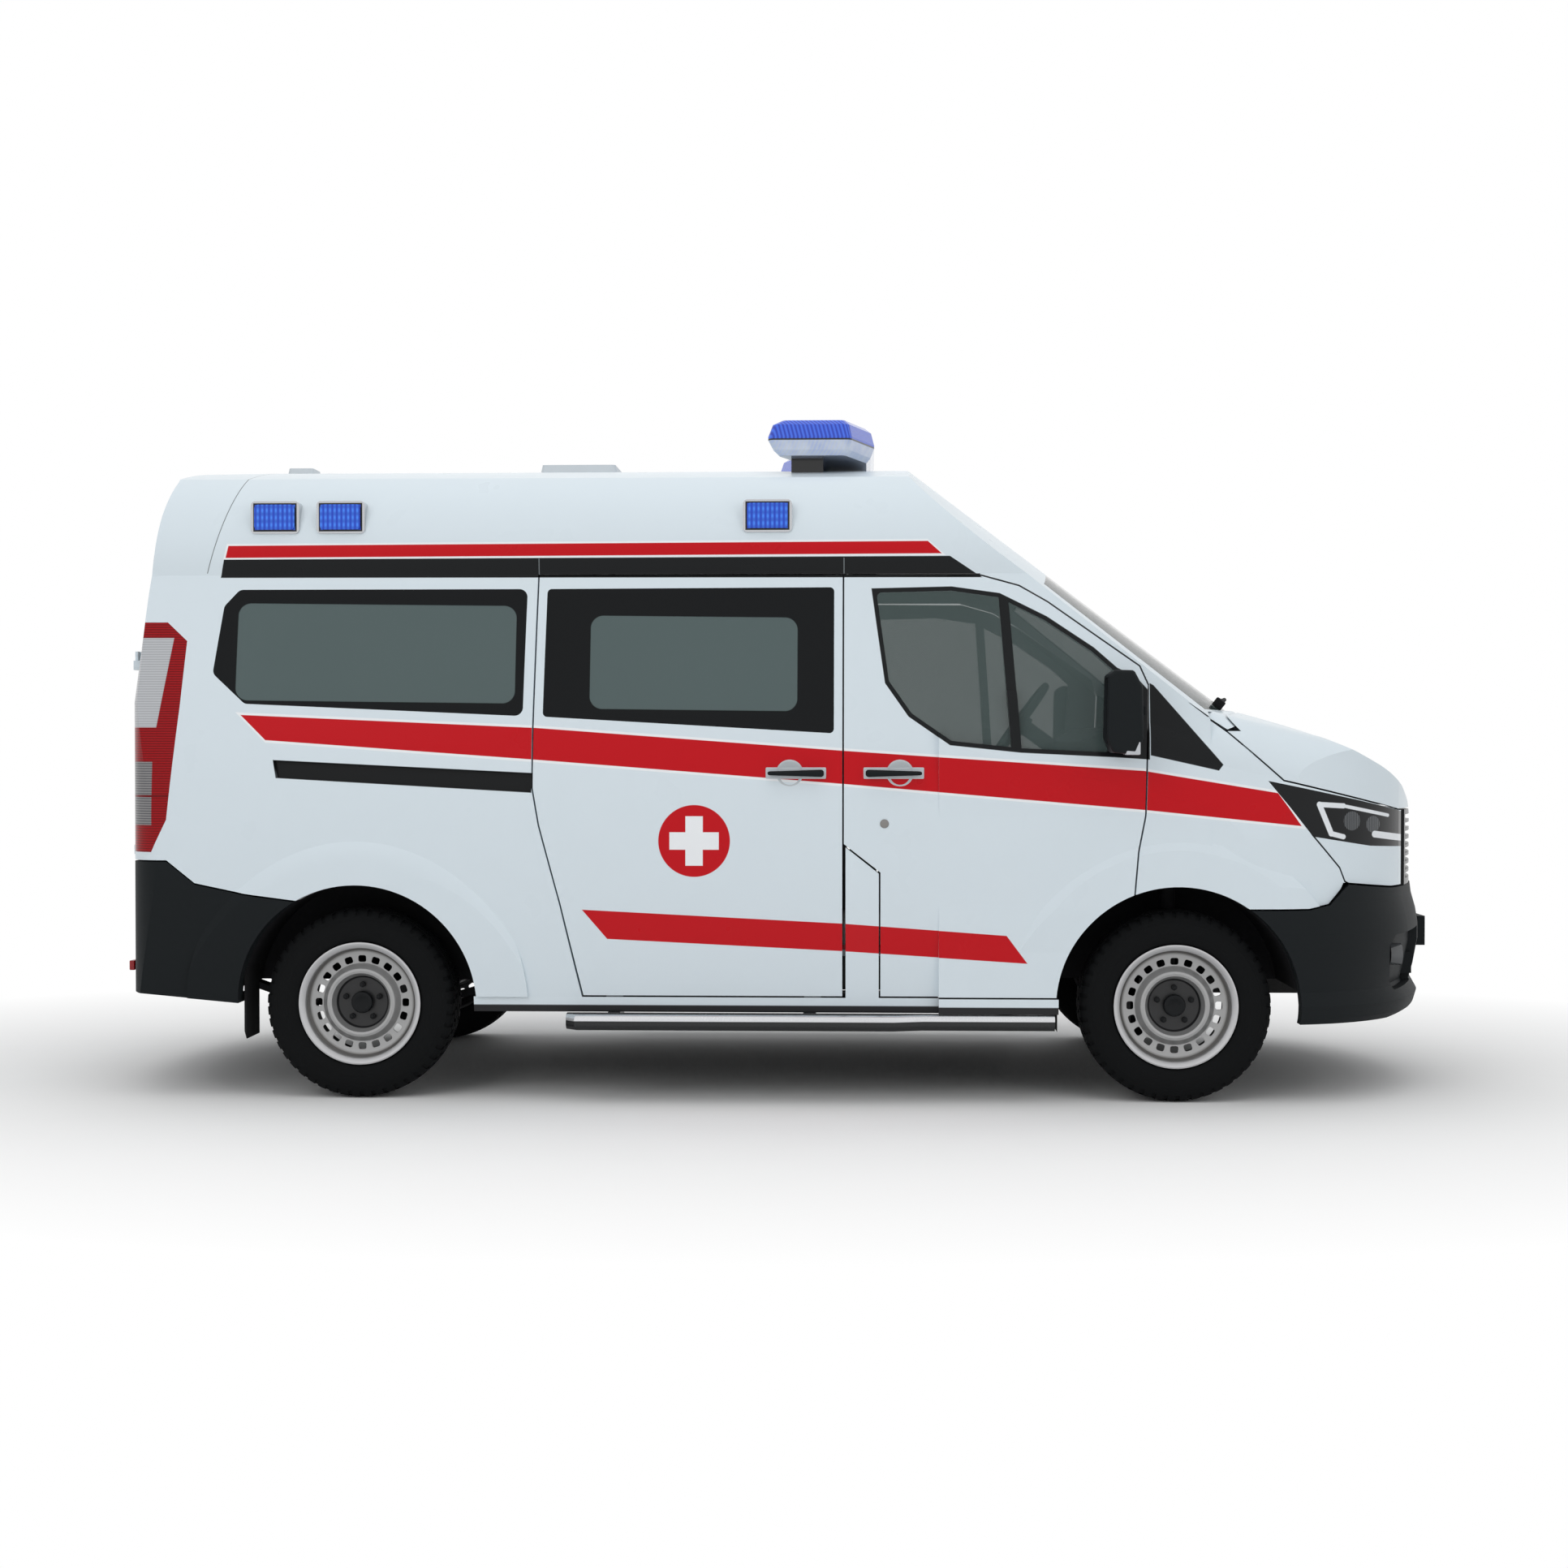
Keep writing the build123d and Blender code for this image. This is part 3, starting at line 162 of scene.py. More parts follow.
class Graph:
    """A material and its nodes."""

    def __init__(self, name: str) -> None:
        """Starts an empty material of that name."""
        self.material = bpy.data.materials.new(name)
        self.material.use_nodes = True
        self.tree = self.material.node_tree
        self.tree.nodes.clear()
        self._place: tuple[Value, Value, Value] | None = None
        self._facing: tuple[Value, Value, Value] | None = None

    def feed(self, socket: bpy.types.NodeSocket, value: Any) -> None:
        """Links or sets one input.

        Args:
            socket: the input.
            value: a Value, an output socket or a plain value.
        """
        if isinstance(value, Value):
            self.tree.links.new(value.socket, socket)
        elif isinstance(value, bpy.types.NodeSocket):
            self.tree.links.new(value, socket)
        else:
            socket.default_value = value

    def add(self, kind: str, settings: dict[str, Any], inputs: dict[Any, Any]) -> bpy.types.Node:
        """Adds a node.

        Args:
            kind: the node's type.
            settings: its settings, set before its inputs.
            inputs: the values or links of its sockets.

        Returns:
            The node.
        """
        node = self.tree.nodes.new(kind)
        for key, value in settings.items():
            setattr(node, key, value)
        for key, value in inputs.items():
            self.feed(node.inputs[key], value)
        return node

    def value(self, kind: str, settings: dict[str, Any], inputs: dict[Any, Any], output: Any = 0) -> Value:
        """Adds a node and wraps one of its outputs."""
        return Value(self, self.add(kind, settings, inputs).outputs[output])

    def _split(self, output: str) -> tuple[Value, Value, Value]:
        """The three parts of one Texture Coordinate output."""
        source = self.add("ShaderNodeTexCoord", {}, {}).outputs[output]
        parts = self.add("ShaderNodeSeparateXYZ", {}, {0: source})
        return tuple(Value(self, parts.outputs[i]) for i in range(3))

    def place(self) -> tuple[Value, Value, Value]:
        """Where the surface point lies on the vehicle at rest."""
        self._place = self._place or self._split("Object")
        return self._place

    def facing(self) -> tuple[Value, Value, Value]:
        """Which way the surface faces on the vehicle at rest."""
        self._facing = self._facing or self._split("Normal")
        return self._facing

    def noise(self, scale: float, detail: float = 3.0, stretch: Place = (1.0, 1.0, 1.0)) -> Value:
        """Noise over the vehicle's own coordinates, from 0 to 1.

        Args:
            scale: how many blotches a metre holds.
            detail: the noise's detail.
            stretch: the scale along each axis.

        Returns:
            The noise.
        """
        source = self.add("ShaderNodeTexCoord", {}, {}).outputs["Object"]
        mapped = self.add("ShaderNodeMapping", {}, {"Vector": source, "Scale": stretch}).outputs[0]
        return self.value("ShaderNodeTexNoise", {}, {"Vector": mapped, "Scale": scale, "Detail": detail})

    def mix(self, mask: Any, first: Any, second: Any) -> bpy.types.NodeSocket:
        """A colour that goes from the first to the second as the mask goes from 0 to 1."""
        node = self.add("ShaderNodeMix", {"data_type": "RGBA"}, {0: mask, 6: rgba(first), 7: rgba(second)})
        return node.outputs[2]


def rgba(colour: Any) -> Any:
    """A colour with its alpha, or the socket that it already is."""
    return (*colour, 1.0) if isinstance(colour, tuple) and len(colour) == 3 else colour


def line_height(x: Value, points: Sequence[Point]) -> Value:
    """Height of a bent line over x.

    Args:
        x: where along the line.
        points: its corners in millimetres, by rising x.

    Returns:
        The height in metres.
    """
    slopes = [(z1 - z0) / (x1 - x0) for (x0, z0), (x1, z1) in zip(points, points[1:])]
    height = (x - points[0][0] / 1000) * slopes[0] + points[0][1] / 1000
    for (start, _), before, after in zip(points[1:], slopes, slopes[1:]):
        height = height + (x - start / 1000).most(0.0) * (after - before)
    return height


def inside(points: Sequence[Point], x: Value, z: Value, grow: float = 0.0, soft: float = 0.002) -> Value:
    """Mask of a convex outline.

    Args:
        points: its corners in millimetres, clockwise with x to the right and z up.
        x: the first coordinate.
        z: the second coordinate.
        grow: how far the outline is moved out, in metres.
        soft: the width of the mask's edge.

    Returns:
        1 inside and 0 outside.
    """
    depth = None
    for (x0, z0), (x1, z1) in zip(points, [*points[1:], points[0]]):
        along = Vector((x1 - x0, z1 - z0)).normalized()
        reach = (x - x0 / 1000) * along.y - (z - z0 / 1000) * along.x
        depth = reach if depth is None else depth.least(reach)
    return (depth + grow).edge(soft)


def disc(x: Value, z: Value, centre: Point, radius: float) -> Value:
    """Mask of a disc about a point, all in metres."""
    across, up = x - centre[0], z - centre[1]
    return (radius - (across * across + up * up).root()).edge()


def box_mask(x: Value, z: Value, centre: Point, half: Point) -> Value:
    """Mask of a rectangle about a point, all in metres."""
    wide = (half[0] - (x - centre[0]).size()).edge()
    return wide.least((half[1] - (z - centre[1]).size()).edge())


def stroke(x: Value, z: Value, start: Point, end: Point, half: float) -> Value:
    """Mask of a straight stroke between two points in millimetres."""
    run = Vector((end[0] - start[0], end[1] - start[1])) / 1000
    across, up = x - start[0] / 1000, z - start[1] / 1000
    share = (across * run.x + up * run.y) * (1.0 / run.length_squared)
    share = share.most(0.0).least(1.0)
    left, over = across - share * run.x, up - share * run.y
    return (half - (left * left + over * over).root()).edge()


# ---------------------------------------------------------------- finishes
@dataclass(frozen=True)
class Finish:
    """A finish: one Principled shader with a fine grain in its colour, roughness and bump.

    Attributes:
        name: the material's name.
        colour: its base colour.
        roughness: how dull it is.
        metallic: 1 for bare metal.
        coat: the weight of its clear coat.
        grain: how many grains a metre holds.
        bump: how deep the grain looks.
        mottle: how far the grain darkens the colour.
        alpha: below 1 for glass.
        shine: the specular level.
    """

    name: str
    colour: Colour
    roughness: float = 0.5
    metallic: float = 0.0
    coat: float = 0.0
    grain: float = 260.0
    bump: float = 0.08
    mottle: float = 0.06
    alpha: float = 1.0
    shine: float = 0.5

    def colour_of(self, graph: Graph) -> Any:
        """The base colour or the socket that carries it."""
        speckle = graph.noise(self.grain / 12)
        dark = tuple(part * (1 - self.mottle) for part in self.colour)
        return graph.mix(speckle, dark, self.colour)

    def roughness_of(self, graph: Graph, grain: Value) -> Any:
        """The roughness, a little uneven."""
        return grain * 0.12 + (self.roughness - 0.06)

    def metallic_of(self, graph: Graph) -> Any:
        """How metallic it is."""
        return self.metallic

    def alpha_of(self, graph: Graph) -> Any:
        """How solid it is."""
        return self.alpha

    def height_of(self, graph: Graph, grain: Value) -> Value:
        """The relief that the bump shows."""
        return grain

    def material(self) -> bpy.types.Material:
        """Builds the material."""
        graph = Graph(self.name)
        grain = graph.noise(self.grain)
        height = self.height_of(graph, grain)
        bump = graph.add("ShaderNodeBump", {}, {"Strength": self.bump, "Distance": 0.002, "Height": height})
        shader = graph.add(
            "ShaderNodeBsdfPrincipled",
            {},
            {
                "Base Color": rgba(self.colour_of(graph)),
                "Roughness": self.roughness_of(graph, grain),
                "Metallic": self.metallic_of(graph),
                "Coat Weight": self.coat,
                "Specular IOR Level": self.shine,
                "Alpha": self.alpha_of(graph),
                "Normal": bump.outputs[0],
            },
        )
        graph.add("ShaderNodeOutputMaterial", {}, {0: shader.outputs[0]})
        return graph.material


@dataclass(frozen=True)
class Band:
    """A painted band on the sides, between two bent lines (x, z) in millimetres.

    Attributes:
        top: the upper line.
        bottom: the lower line.
    """

    top: Sequence[Point]
    bottom: Sequence[Point]

    def mask(self, x: Value, z: Value, grow: float = 0.0) -> Value:
        """Mask of the band, moved out by grow."""
        inner = (line_height(x, self.top) - z + grow).least(z - line_height(x, self.bottom) + grow)
        for end, sign in ((0, 1.0), (-1, -1.0)):
            (x0, z0), (x1, z1) = self.top[end], self.bottom[end]
            slant = (x1 - x0) / (z0 - z1)
            inner = inner.least((x - x0 / 1000 - (z0 / 1000 - z) * slant) * sign + grow)
        return inner.edge()


MAIN_BAND = Band(
    top=[(-1909, 1385), (-842, 1338), (263, 1256), (1325, 1185), (1795, 1107)],
    bottom=[(-1816, 1294), (-839, 1224), (263, 1138), (1325, 1047), (1880, 990)],
)
LOW_BAND = Band(
    top=[(-672, 689), (252, 642), (840, 600)],
    bottom=[(-582, 584), (252, 543), (914, 501)],
)
ROOF_BAND = Band(top=[(-1974, 2000), (563, 2010)], bottom=[(-1984, 1956), (613, 1965)])
GUTTER_BAND = Band(top=[(-1990, 1950), (642, 1956)], bottom=[(-2003, 1884), (758, 1879)])
FRONT_WINDOW: list[Point] = [
    (378, 1824), (647, 1830), (815, 1806), (979, 1723), (1143, 1612), (1225, 1539), (1203, 1250),
    (892, 1265), (645, 1291), (504, 1389), (423, 1505), (397, 1692),
]
SAIL_PANEL: list[Point] = [(1218, 1560), (1300, 1520), (1345, 1470), (1345, 1225), (1196, 1235)]
FENDER_TRIANGLE: list[Point] = [(1348, 1497), (1362, 1489), (1604, 1207), (1588, 1186), (1348, 1240)]
RAIL_SLOT: list[Point] = [(-1787, 1223), (-853, 1177), (-853, 1106), (-1775, 1158)]
EMBLEM: Point = (-0.270, 0.935)
BONNET_EMBLEM: Point = (2.155, 0.0)


class Paints:
    """Colours that the body and its pieces share."""

    BODY: Colour = (0.72, 0.80, 0.85)
    RED: Colour = (0.55, 0.002, 0.008)
    WHITE: Colour = (0.88, 0.90, 0.92)
    BLACK: Colour = (0.005, 0.006, 0.007)
    LINING: Colour = (0.42, 0.43, 0.44)
    SEAM: Colour = (0.18, 0.20, 0.21)


@dataclass(frozen=True)
class BodyPaint(Finish):
    """Pale body paint with the red bands, the black trims, the emblems and a grey lining inside."""

    def _lining(self, graph: Graph) -> Value:
        """Mask of the faces that look into the vehicle."""
        x, y, _ = graph.place()
        nx, ny, nz = graph.facing()
        inward = (ny * y * -1.0 - 0.15).edge(0.1)
        down = (nz * -1.0 - 0.35).edge(0.1)
        ahead = (nx - 0.5).edge(0.1) * (-2.0 - x).edge(0.02)
        return inward.most(down).most(ahead)

    def _black(self, graph: Graph) -> Value:
        """Mask of the black trims on the sides."""
        x, y, z = graph.place()
        trims = inside(FRONT_WINDOW, x, z, grow=0.016).most(inside(SAIL_PANEL, x, z))
        trims = trims.most(inside(FENDER_TRIANGLE, x, z)).most(GUTTER_BAND.mask(x, z))
        trims = trims.most(inside(RAIL_SLOT, x, z) * (y * -1.0).edge())
        return trims * (y.size() - 0.62).edge()

    def _cross(self, x: Value, z: Value, centre: Point, scale: float) -> tuple[Value, Value]:
        """Masks of an emblem's disc and of the cross in it."""
        cross = box_mask(x, z, centre, (0.031 * scale, 0.088 * scale))
        cross = cross.most(box_mask(x, z, centre, (0.088 * scale, 0.031 * scale)))
        return disc(x, z, centre, 0.128 * scale), cross

    def colour_of(self, graph: Graph) -> Any:
        """The paint with everything drawn on it."""
        x, y, z = graph.place()
        _, ny, nz = graph.facing()
        side = (y.size() - 0.62).edge() * (ny * y - 0.06).edge(0.02)
        colour: Any = graph.mix(graph.noise(6.0), tuple(0.985 * part for part in self.colour), self.colour)
        borders = MAIN_BAND.mask(x, z, grow=0.009).most(ROOF_BAND.mask(x, z, grow=0.007))
        colour = graph.mix(borders * side, colour, Paints.WHITE)
        bands = MAIN_BAND.mask(x, z).most(LOW_BAND.mask(x, z)).most(ROOF_BAND.mask(x, z))
        on_side, side_cross = self._cross(x, z, EMBLEM, 1.0)
        on_top, top_cross = self._cross(x, y, BONNET_EMBLEM, 0.85)
        up = (nz - 0.5).edge(0.1)
        colour = graph.mix((bands.most(on_side)) * side, colour, Paints.RED)
        colour = graph.mix(on_top * up * (x - 1.7).edge(), colour, Paints.RED)
        crosses = (side_cross * side).most(top_cross * up * (x - 1.7).edge())
        colour = graph.mix(crosses, colour, Paints.WHITE)
        cap = (0.0016 - (x + 2.051 - (z - 1.903) * 0.289).size()).edge(0.001) * (z - 1.9).edge()
        splits = (0.0016 - (x + 0.840).size()).edge(0.001).most((0.0016 - (x - 0.262).size()).edge(0.001))
        splits = splits * (z - 1.893).edge() * (1.95 - z).edge() * side
        colour = graph.mix(cap, colour, Paints.SEAM)
        colour = graph.mix(self._black(graph), colour, Paints.BLACK)
        colour = graph.mix(splits, colour, Paints.SEAM)
        return graph.mix(self._lining(graph), colour, Paints.LINING)

    def roughness_of(self, graph: Graph, grain: Value) -> Any:
        """Gloss outside and dull inside."""
        return self._lining(graph) * 0.35 + (grain * 0.04 + self.roughness)


@dataclass(frozen=True)
class SillPaint(Finish):
    """Body paint on the outer sills, grey flooring on top and chassis black below."""

    def colour_of(self, graph: Graph) -> Any:
        """Paint outside, with the low band running on, flooring on top, black elsewhere."""
        x, y, z = graph.place()
        _, ny, nz = graph.facing()
        outside = (ny * y - 0.25).edge(0.05) * (y.size() - 0.85).edge() * (z - 0.345).edge(0.004)
        paint = graph.mix(LOW_BAND.mask(x, z), self.colour, Paints.RED)
        top = (nz - 0.6).edge(0.1) * (z - 0.50).edge()
        floor = graph.mix(graph.noise(30.0), (0.13, 0.14, 0.15), (0.17, 0.18, 0.19))
        colour = graph.mix(top, (0.016, 0.016, 0.018), floor)
        return graph.mix(outside, colour, paint)


@dataclass(frozen=True)
class WindowGlass(Finish):
    """Tinted glass with a black printed border about each clear field.

    Attributes:
        fields: centre and half size (x, z) in metres of each clear field.
        clear: how solid the clear fields are.
    """

    fields: Sequence[tuple[Point, Point]] = ()
    clear: float = 0.55

    def _clear(self, graph: Graph) -> Value | None:
        """Mask of the clear fields, with rounded corners."""
        x, _, z = graph.place()
        mask = None
        for (cx, cz), (hx, hz) in self.fields:
            tilt = (x - cx) * 0.012
            across = ((x - cx).size() - (hx - 0.045)).most(0.0)
            up = ((z - cz + tilt).size() - (hz - 0.045)).most(0.0)
            field = (0.045 - (across * across + up * up).root()).edge(0.003)
            mask = field if mask is None else mask.most(field)
        return mask

    def colour_of(self, graph: Graph) -> Any:
        """Black on the border, dark grey-green in the fields."""
        mask = self._clear(graph)
        return self.colour if mask is None else graph.mix(mask, Paints.BLACK, self.colour)

    def alpha_of(self, graph: Graph) -> Any:
        """Solid on the border."""
        mask = self._clear(graph)
        return self.clear if mask is None else mask * (self.clear - 1.0) + 1.0

    def roughness_of(self, graph: Graph, grain: Value) -> Any:
        """Polished all over."""
        return self.roughness


@dataclass(frozen=True)
class HeadlampLens(Finish):
    """Black headlamp behind a clear cover, with a bent white light guide."""

    def colour_of(self, graph: Graph) -> Any:
        """The guide and the reflectors on black."""
        x, _, z = graph.place()
        guide = stroke(x, z, (1946, 1066), (1992, 962), 0.010)
        for start, end, half in (
            ((1946, 1066), (2040, 1060), 0.009), ((2040, 1060), (2235, 1022), 0.006),
            ((1992, 962), (2040, 950), 0.009), ((2172, 956), (2330, 934), 0.012),
        ):
            guide = guide.most(stroke(x, z, start, end, half))
        bowl = disc(x, z, (2.075, 1.006), 0.034).most(disc(x, z, (2.165, 0.992), 0.030))
        rings = ((x * 900.0).wave() * 0.5 + 0.5) * bowl
        colour = graph.mix(rings, self.colour, (0.16, 0.17, 0.18))
        return graph.mix(guide, colour, (0.82, 0.85, 0.88))

    def roughness_of(self, graph: Graph, grain: Value) -> Any:
        """Polished all over."""
        return self.roughness


@dataclass(frozen=True)
class TailLens(Finish):
    """Upright tail lamp with red and clear parts, one above the other, on a black edge."""

    def colour_of(self, graph: Graph) -> Any:
        """The lamp's parts by height."""
        x, y, z = graph.place()
        ribs = (z * 700.0).wave() * 0.5 + 0.5
        clear = graph.mix(ribs, (0.40, 0.41, 0.43), (0.56, 0.57, 0.59))
        dark = graph.mix(ribs, (0.10, 0.10, 0.11), (0.30, 0.29, 0.29))
        red = graph.mix(ribs, self.colour, (0.40, 0.002, 0.006))
        upper = (z - 1.340).edge() * (1.664 - z).edge()
        inner = (-2.162 - (1.664 - z) * 0.16 - x).edge()
        lower = (1.216 - z).edge() * (z - 0.989).edge() * (-2.224 - x).edge()
        split = (0.004 - (z - 1.093).size()).edge()
        colour = graph.mix(upper * inner, red, clear)
        colour = graph.mix(lower, colour, dark)
        colour = graph.mix(split, colour, self.colour)
        rim = (y.size() - 0.858).edge(0.003)
        return graph.mix(1.0 - rim, colour, Paints.BLACK)

    def roughness_of(self, graph: Graph, grain: Value) -> Any:
        """Polished all over."""
        return self.roughness


@dataclass(frozen=True)
class LightBarLens(Finish):
    """Ribbed roof light: blue above, clear with a blue glow below, a dark joint between."""

    def colour_of(self, graph: Graph) -> Any:
        """The two halves by height."""
        x, y, z = graph.place()
        ribs = ((x + y) * 420.0).wave() * 0.5 + 0.5
        blue = graph.mix(ribs, self.colour, (0.05, 0.16, 0.85))
        pale = graph.mix(graph.noise(18.0), (0.25, 0.36, 0.72), (0.80, 0.84, 0.88))
        colour = graph.mix((z - 2.412).edge(), graph.mix(ribs * 0.5, pale, (0.62, 0.66, 0.70)), blue)
        joint = (0.003 - (z - 2.414).size()).edge()
        feet = (2.356 - z).edge()
        return graph.mix(joint.most(feet), colour, Paints.BLACK)

    def roughness_of(self, graph: Graph, grain: Value) -> Any:
        """Polished all over."""
        return self.roughness

    def height_of(self, graph: Graph, grain: Value) -> Value:
        """A plain slope along x and y, not ribs; the ribs are only in the colour."""
        x, y, _ = graph.place()
        return (x + y * 0.7).most(-9.0) * 420.0 + grain * 0.0


@dataclass(frozen=True)
class WarningLens(Finish):
    """Blue lens with upright ribs in a bright bezel.

    Attributes:
        centres: middle of each lamp (x, z) in metres.
    """

    centres: Sequence[Point] = ()

    def _lens(self, graph: Graph, grow: float = 0.0) -> Value:
        """Mask of the lenses, moved out by grow."""
        x, _, z = graph.place()
        mask = box_mask(x, z, self.centres[0], (0.0735 + grow, 0.0455 + grow))
        for centre in self.centres[1:]:
            mask = mask.most(box_mask(x, z, centre, (0.0735 + grow, 0.0455 + grow)))
        return mask

    def colour_of(self, graph: Graph) -> Any:
        """Blue cells in a grey bezel."""
        x, _, z = graph.place()
        cells = ((x * 380.0).wave() * 0.5 + 0.5) * ((z * 240.0).wave() * 0.3 + 0.7)
        blue = graph.mix(cells, self.colour, (0.06, 0.26, 1.0))
        bezel = graph.mix(self._lens(graph, 0.006), (0.55, 0.56, 0.58), Paints.BLACK)
        return graph.mix(self._lens(graph), bezel, blue)

    def metallic_of(self, graph: Graph) -> Any:
        """Metal on the bezel only."""
        return (1.0 - self._lens(graph, 0.006)) * 0.9

    def roughness_of(self, graph: Graph, grain: Value) -> Any:
        """Polished all over."""
        return self.roughness


@dataclass(frozen=True)
class StepMetal(Finish):
    """Side step: bright metal above and black plastic below.

    Attributes:
        split: height of the joint in metres.
    """

    split: float = 0.296

    def colour_of(self, graph: Graph) -> Any:
        """Bright above the joint."""
        _, y, z = graph.place()
        brushed = graph.mix(graph.noise(90.0, stretch=(0.02, 1.0, 1.0)), (0.58, 0.59, 0.61), self.colour)
        outer = (z - self.split).edge() * (y.size() - 0.962).edge()
        return graph.mix(outer, Paints.BLACK, brushed)

    def metallic_of(self, graph: Graph) -> Any:
        """Metal above the joint."""
        _, y, z = graph.place()
        return (z - self.split).edge() * (y.size() - 0.962).edge()


@dataclass(frozen=True)
class TyreRubber(Finish):
    """Tyre rubber with rings on its sidewall.

    Attributes:
        axles: x of each axle in metres.
        height: height of the axles in metres.
    """

    axles: Sequence[float] = ()
    height: float = 0.343

    def _radius(self, graph: Graph) -> Value:
        """Distance from the nearer axle."""
        x, _, z = graph.place()
        across = (x - self.axles[0]).size().least((x - self.axles[1]).size())
        up = z - self.height
        return (across * across + up * up).root()

    def height_of(self, graph: Graph, grain: Value) -> Value:
        """Rings on the sidewall over the grain."""
        radius = self._radius(graph)
        inner = (0.0015 - (radius - 0.262).size()).edge(0.001)
        rings = inner.most((0.0015 - (radius - 0.300).size()).edge(0.001))
        return rings * 2.0 + grain * 0.5


@dataclass(frozen=True)
class WheelSteel(Finish):
    """Silver-painted steel wheel, darker in its centre, with a painted highlight on the flange and painted
    shade in the well and on its inner faces.

    Attributes:
        axles: x of each axle in metres.
        height: height of the axles in metres.
    """

    axles: Sequence[float] = ()
    height: float = 0.343

    def colour_of(self, graph: Graph) -> Any:
        """Silver, darker towards the middle, with painted shade in the well and behind the vents and a painted
        highlight on the flange.
        """
        x, y, z = graph.place()
        across = (x - self.axles[0]).size().least((x - self.axles[1]).size())
        up = z - self.height
        radius = (across * across + up * up).root()
        # darker towards the middle
        dark_middle = (0.090 - radius).edge(0.008)
        # painted shade in the well at the foot of the flange
        well = (0.199 - radius).edge(0.004) * (radius - 0.186).edge(0.008)
        # painted highlight on the flange
        flange = (radius - 0.199).edge(0.004)
        colour = graph.mix(graph.noise(40.0), tuple(0.9 * part for part in self.colour), self.colour)
        colour = graph.mix(dark_middle, colour, (0.045, 0.045, 0.048))
        colour = graph.mix(well, colour, (0.16, 0.155, 0.15))
        colour = graph.mix(flange, colour, (0.56, 0.56, 0.57))
        # painted shade: the inner faces are near black so that the vents look dark
        return graph.mix((0.8745 - y.size()).edge(0.003), colour, (0.012, 0.012, 0.013))

    def metallic_of(self, graph: Graph) -> Any:
        """Painted metal outside and dull inside."""
        _, y, _ = graph.place()
        return (y.size() - 0.8745).edge(0.003) * self.metallic


@dataclass(frozen=True)
class Fabric(Finish):
    """Woven cloth with crossing threads."""

    def height_of(self, graph: Graph, grain: Value) -> Value:
        """Threads of the weave."""
        x, y, z = graph.place()
        warp, weft = (x * 1300.0).wave(), ((y + z) * 1300.0).wave()
        return warp * weft * 0.5 + grain


class FinishName(Enum):
    """The finishes by name, each with the record slot that it belongs to."""

    PAINT = "body_paint"
    GLASS = "glass_tint"
    PLASTIC = "black_plastic"
    CHASSIS = "chassis"
    WHEEL = "wheel_silver"
    TYRE = "tyre"
    CLEAR = "lamp_clear"
    RED = "lamp_red"
    BLUE = "lamp_blue"
    INTERIOR = "interior"
    FABRIC = "seat_fabric"
    STEP = "step_silver"
    CAST = "cast"
    STEEL = "steel"
    RUBBER = "rubber"


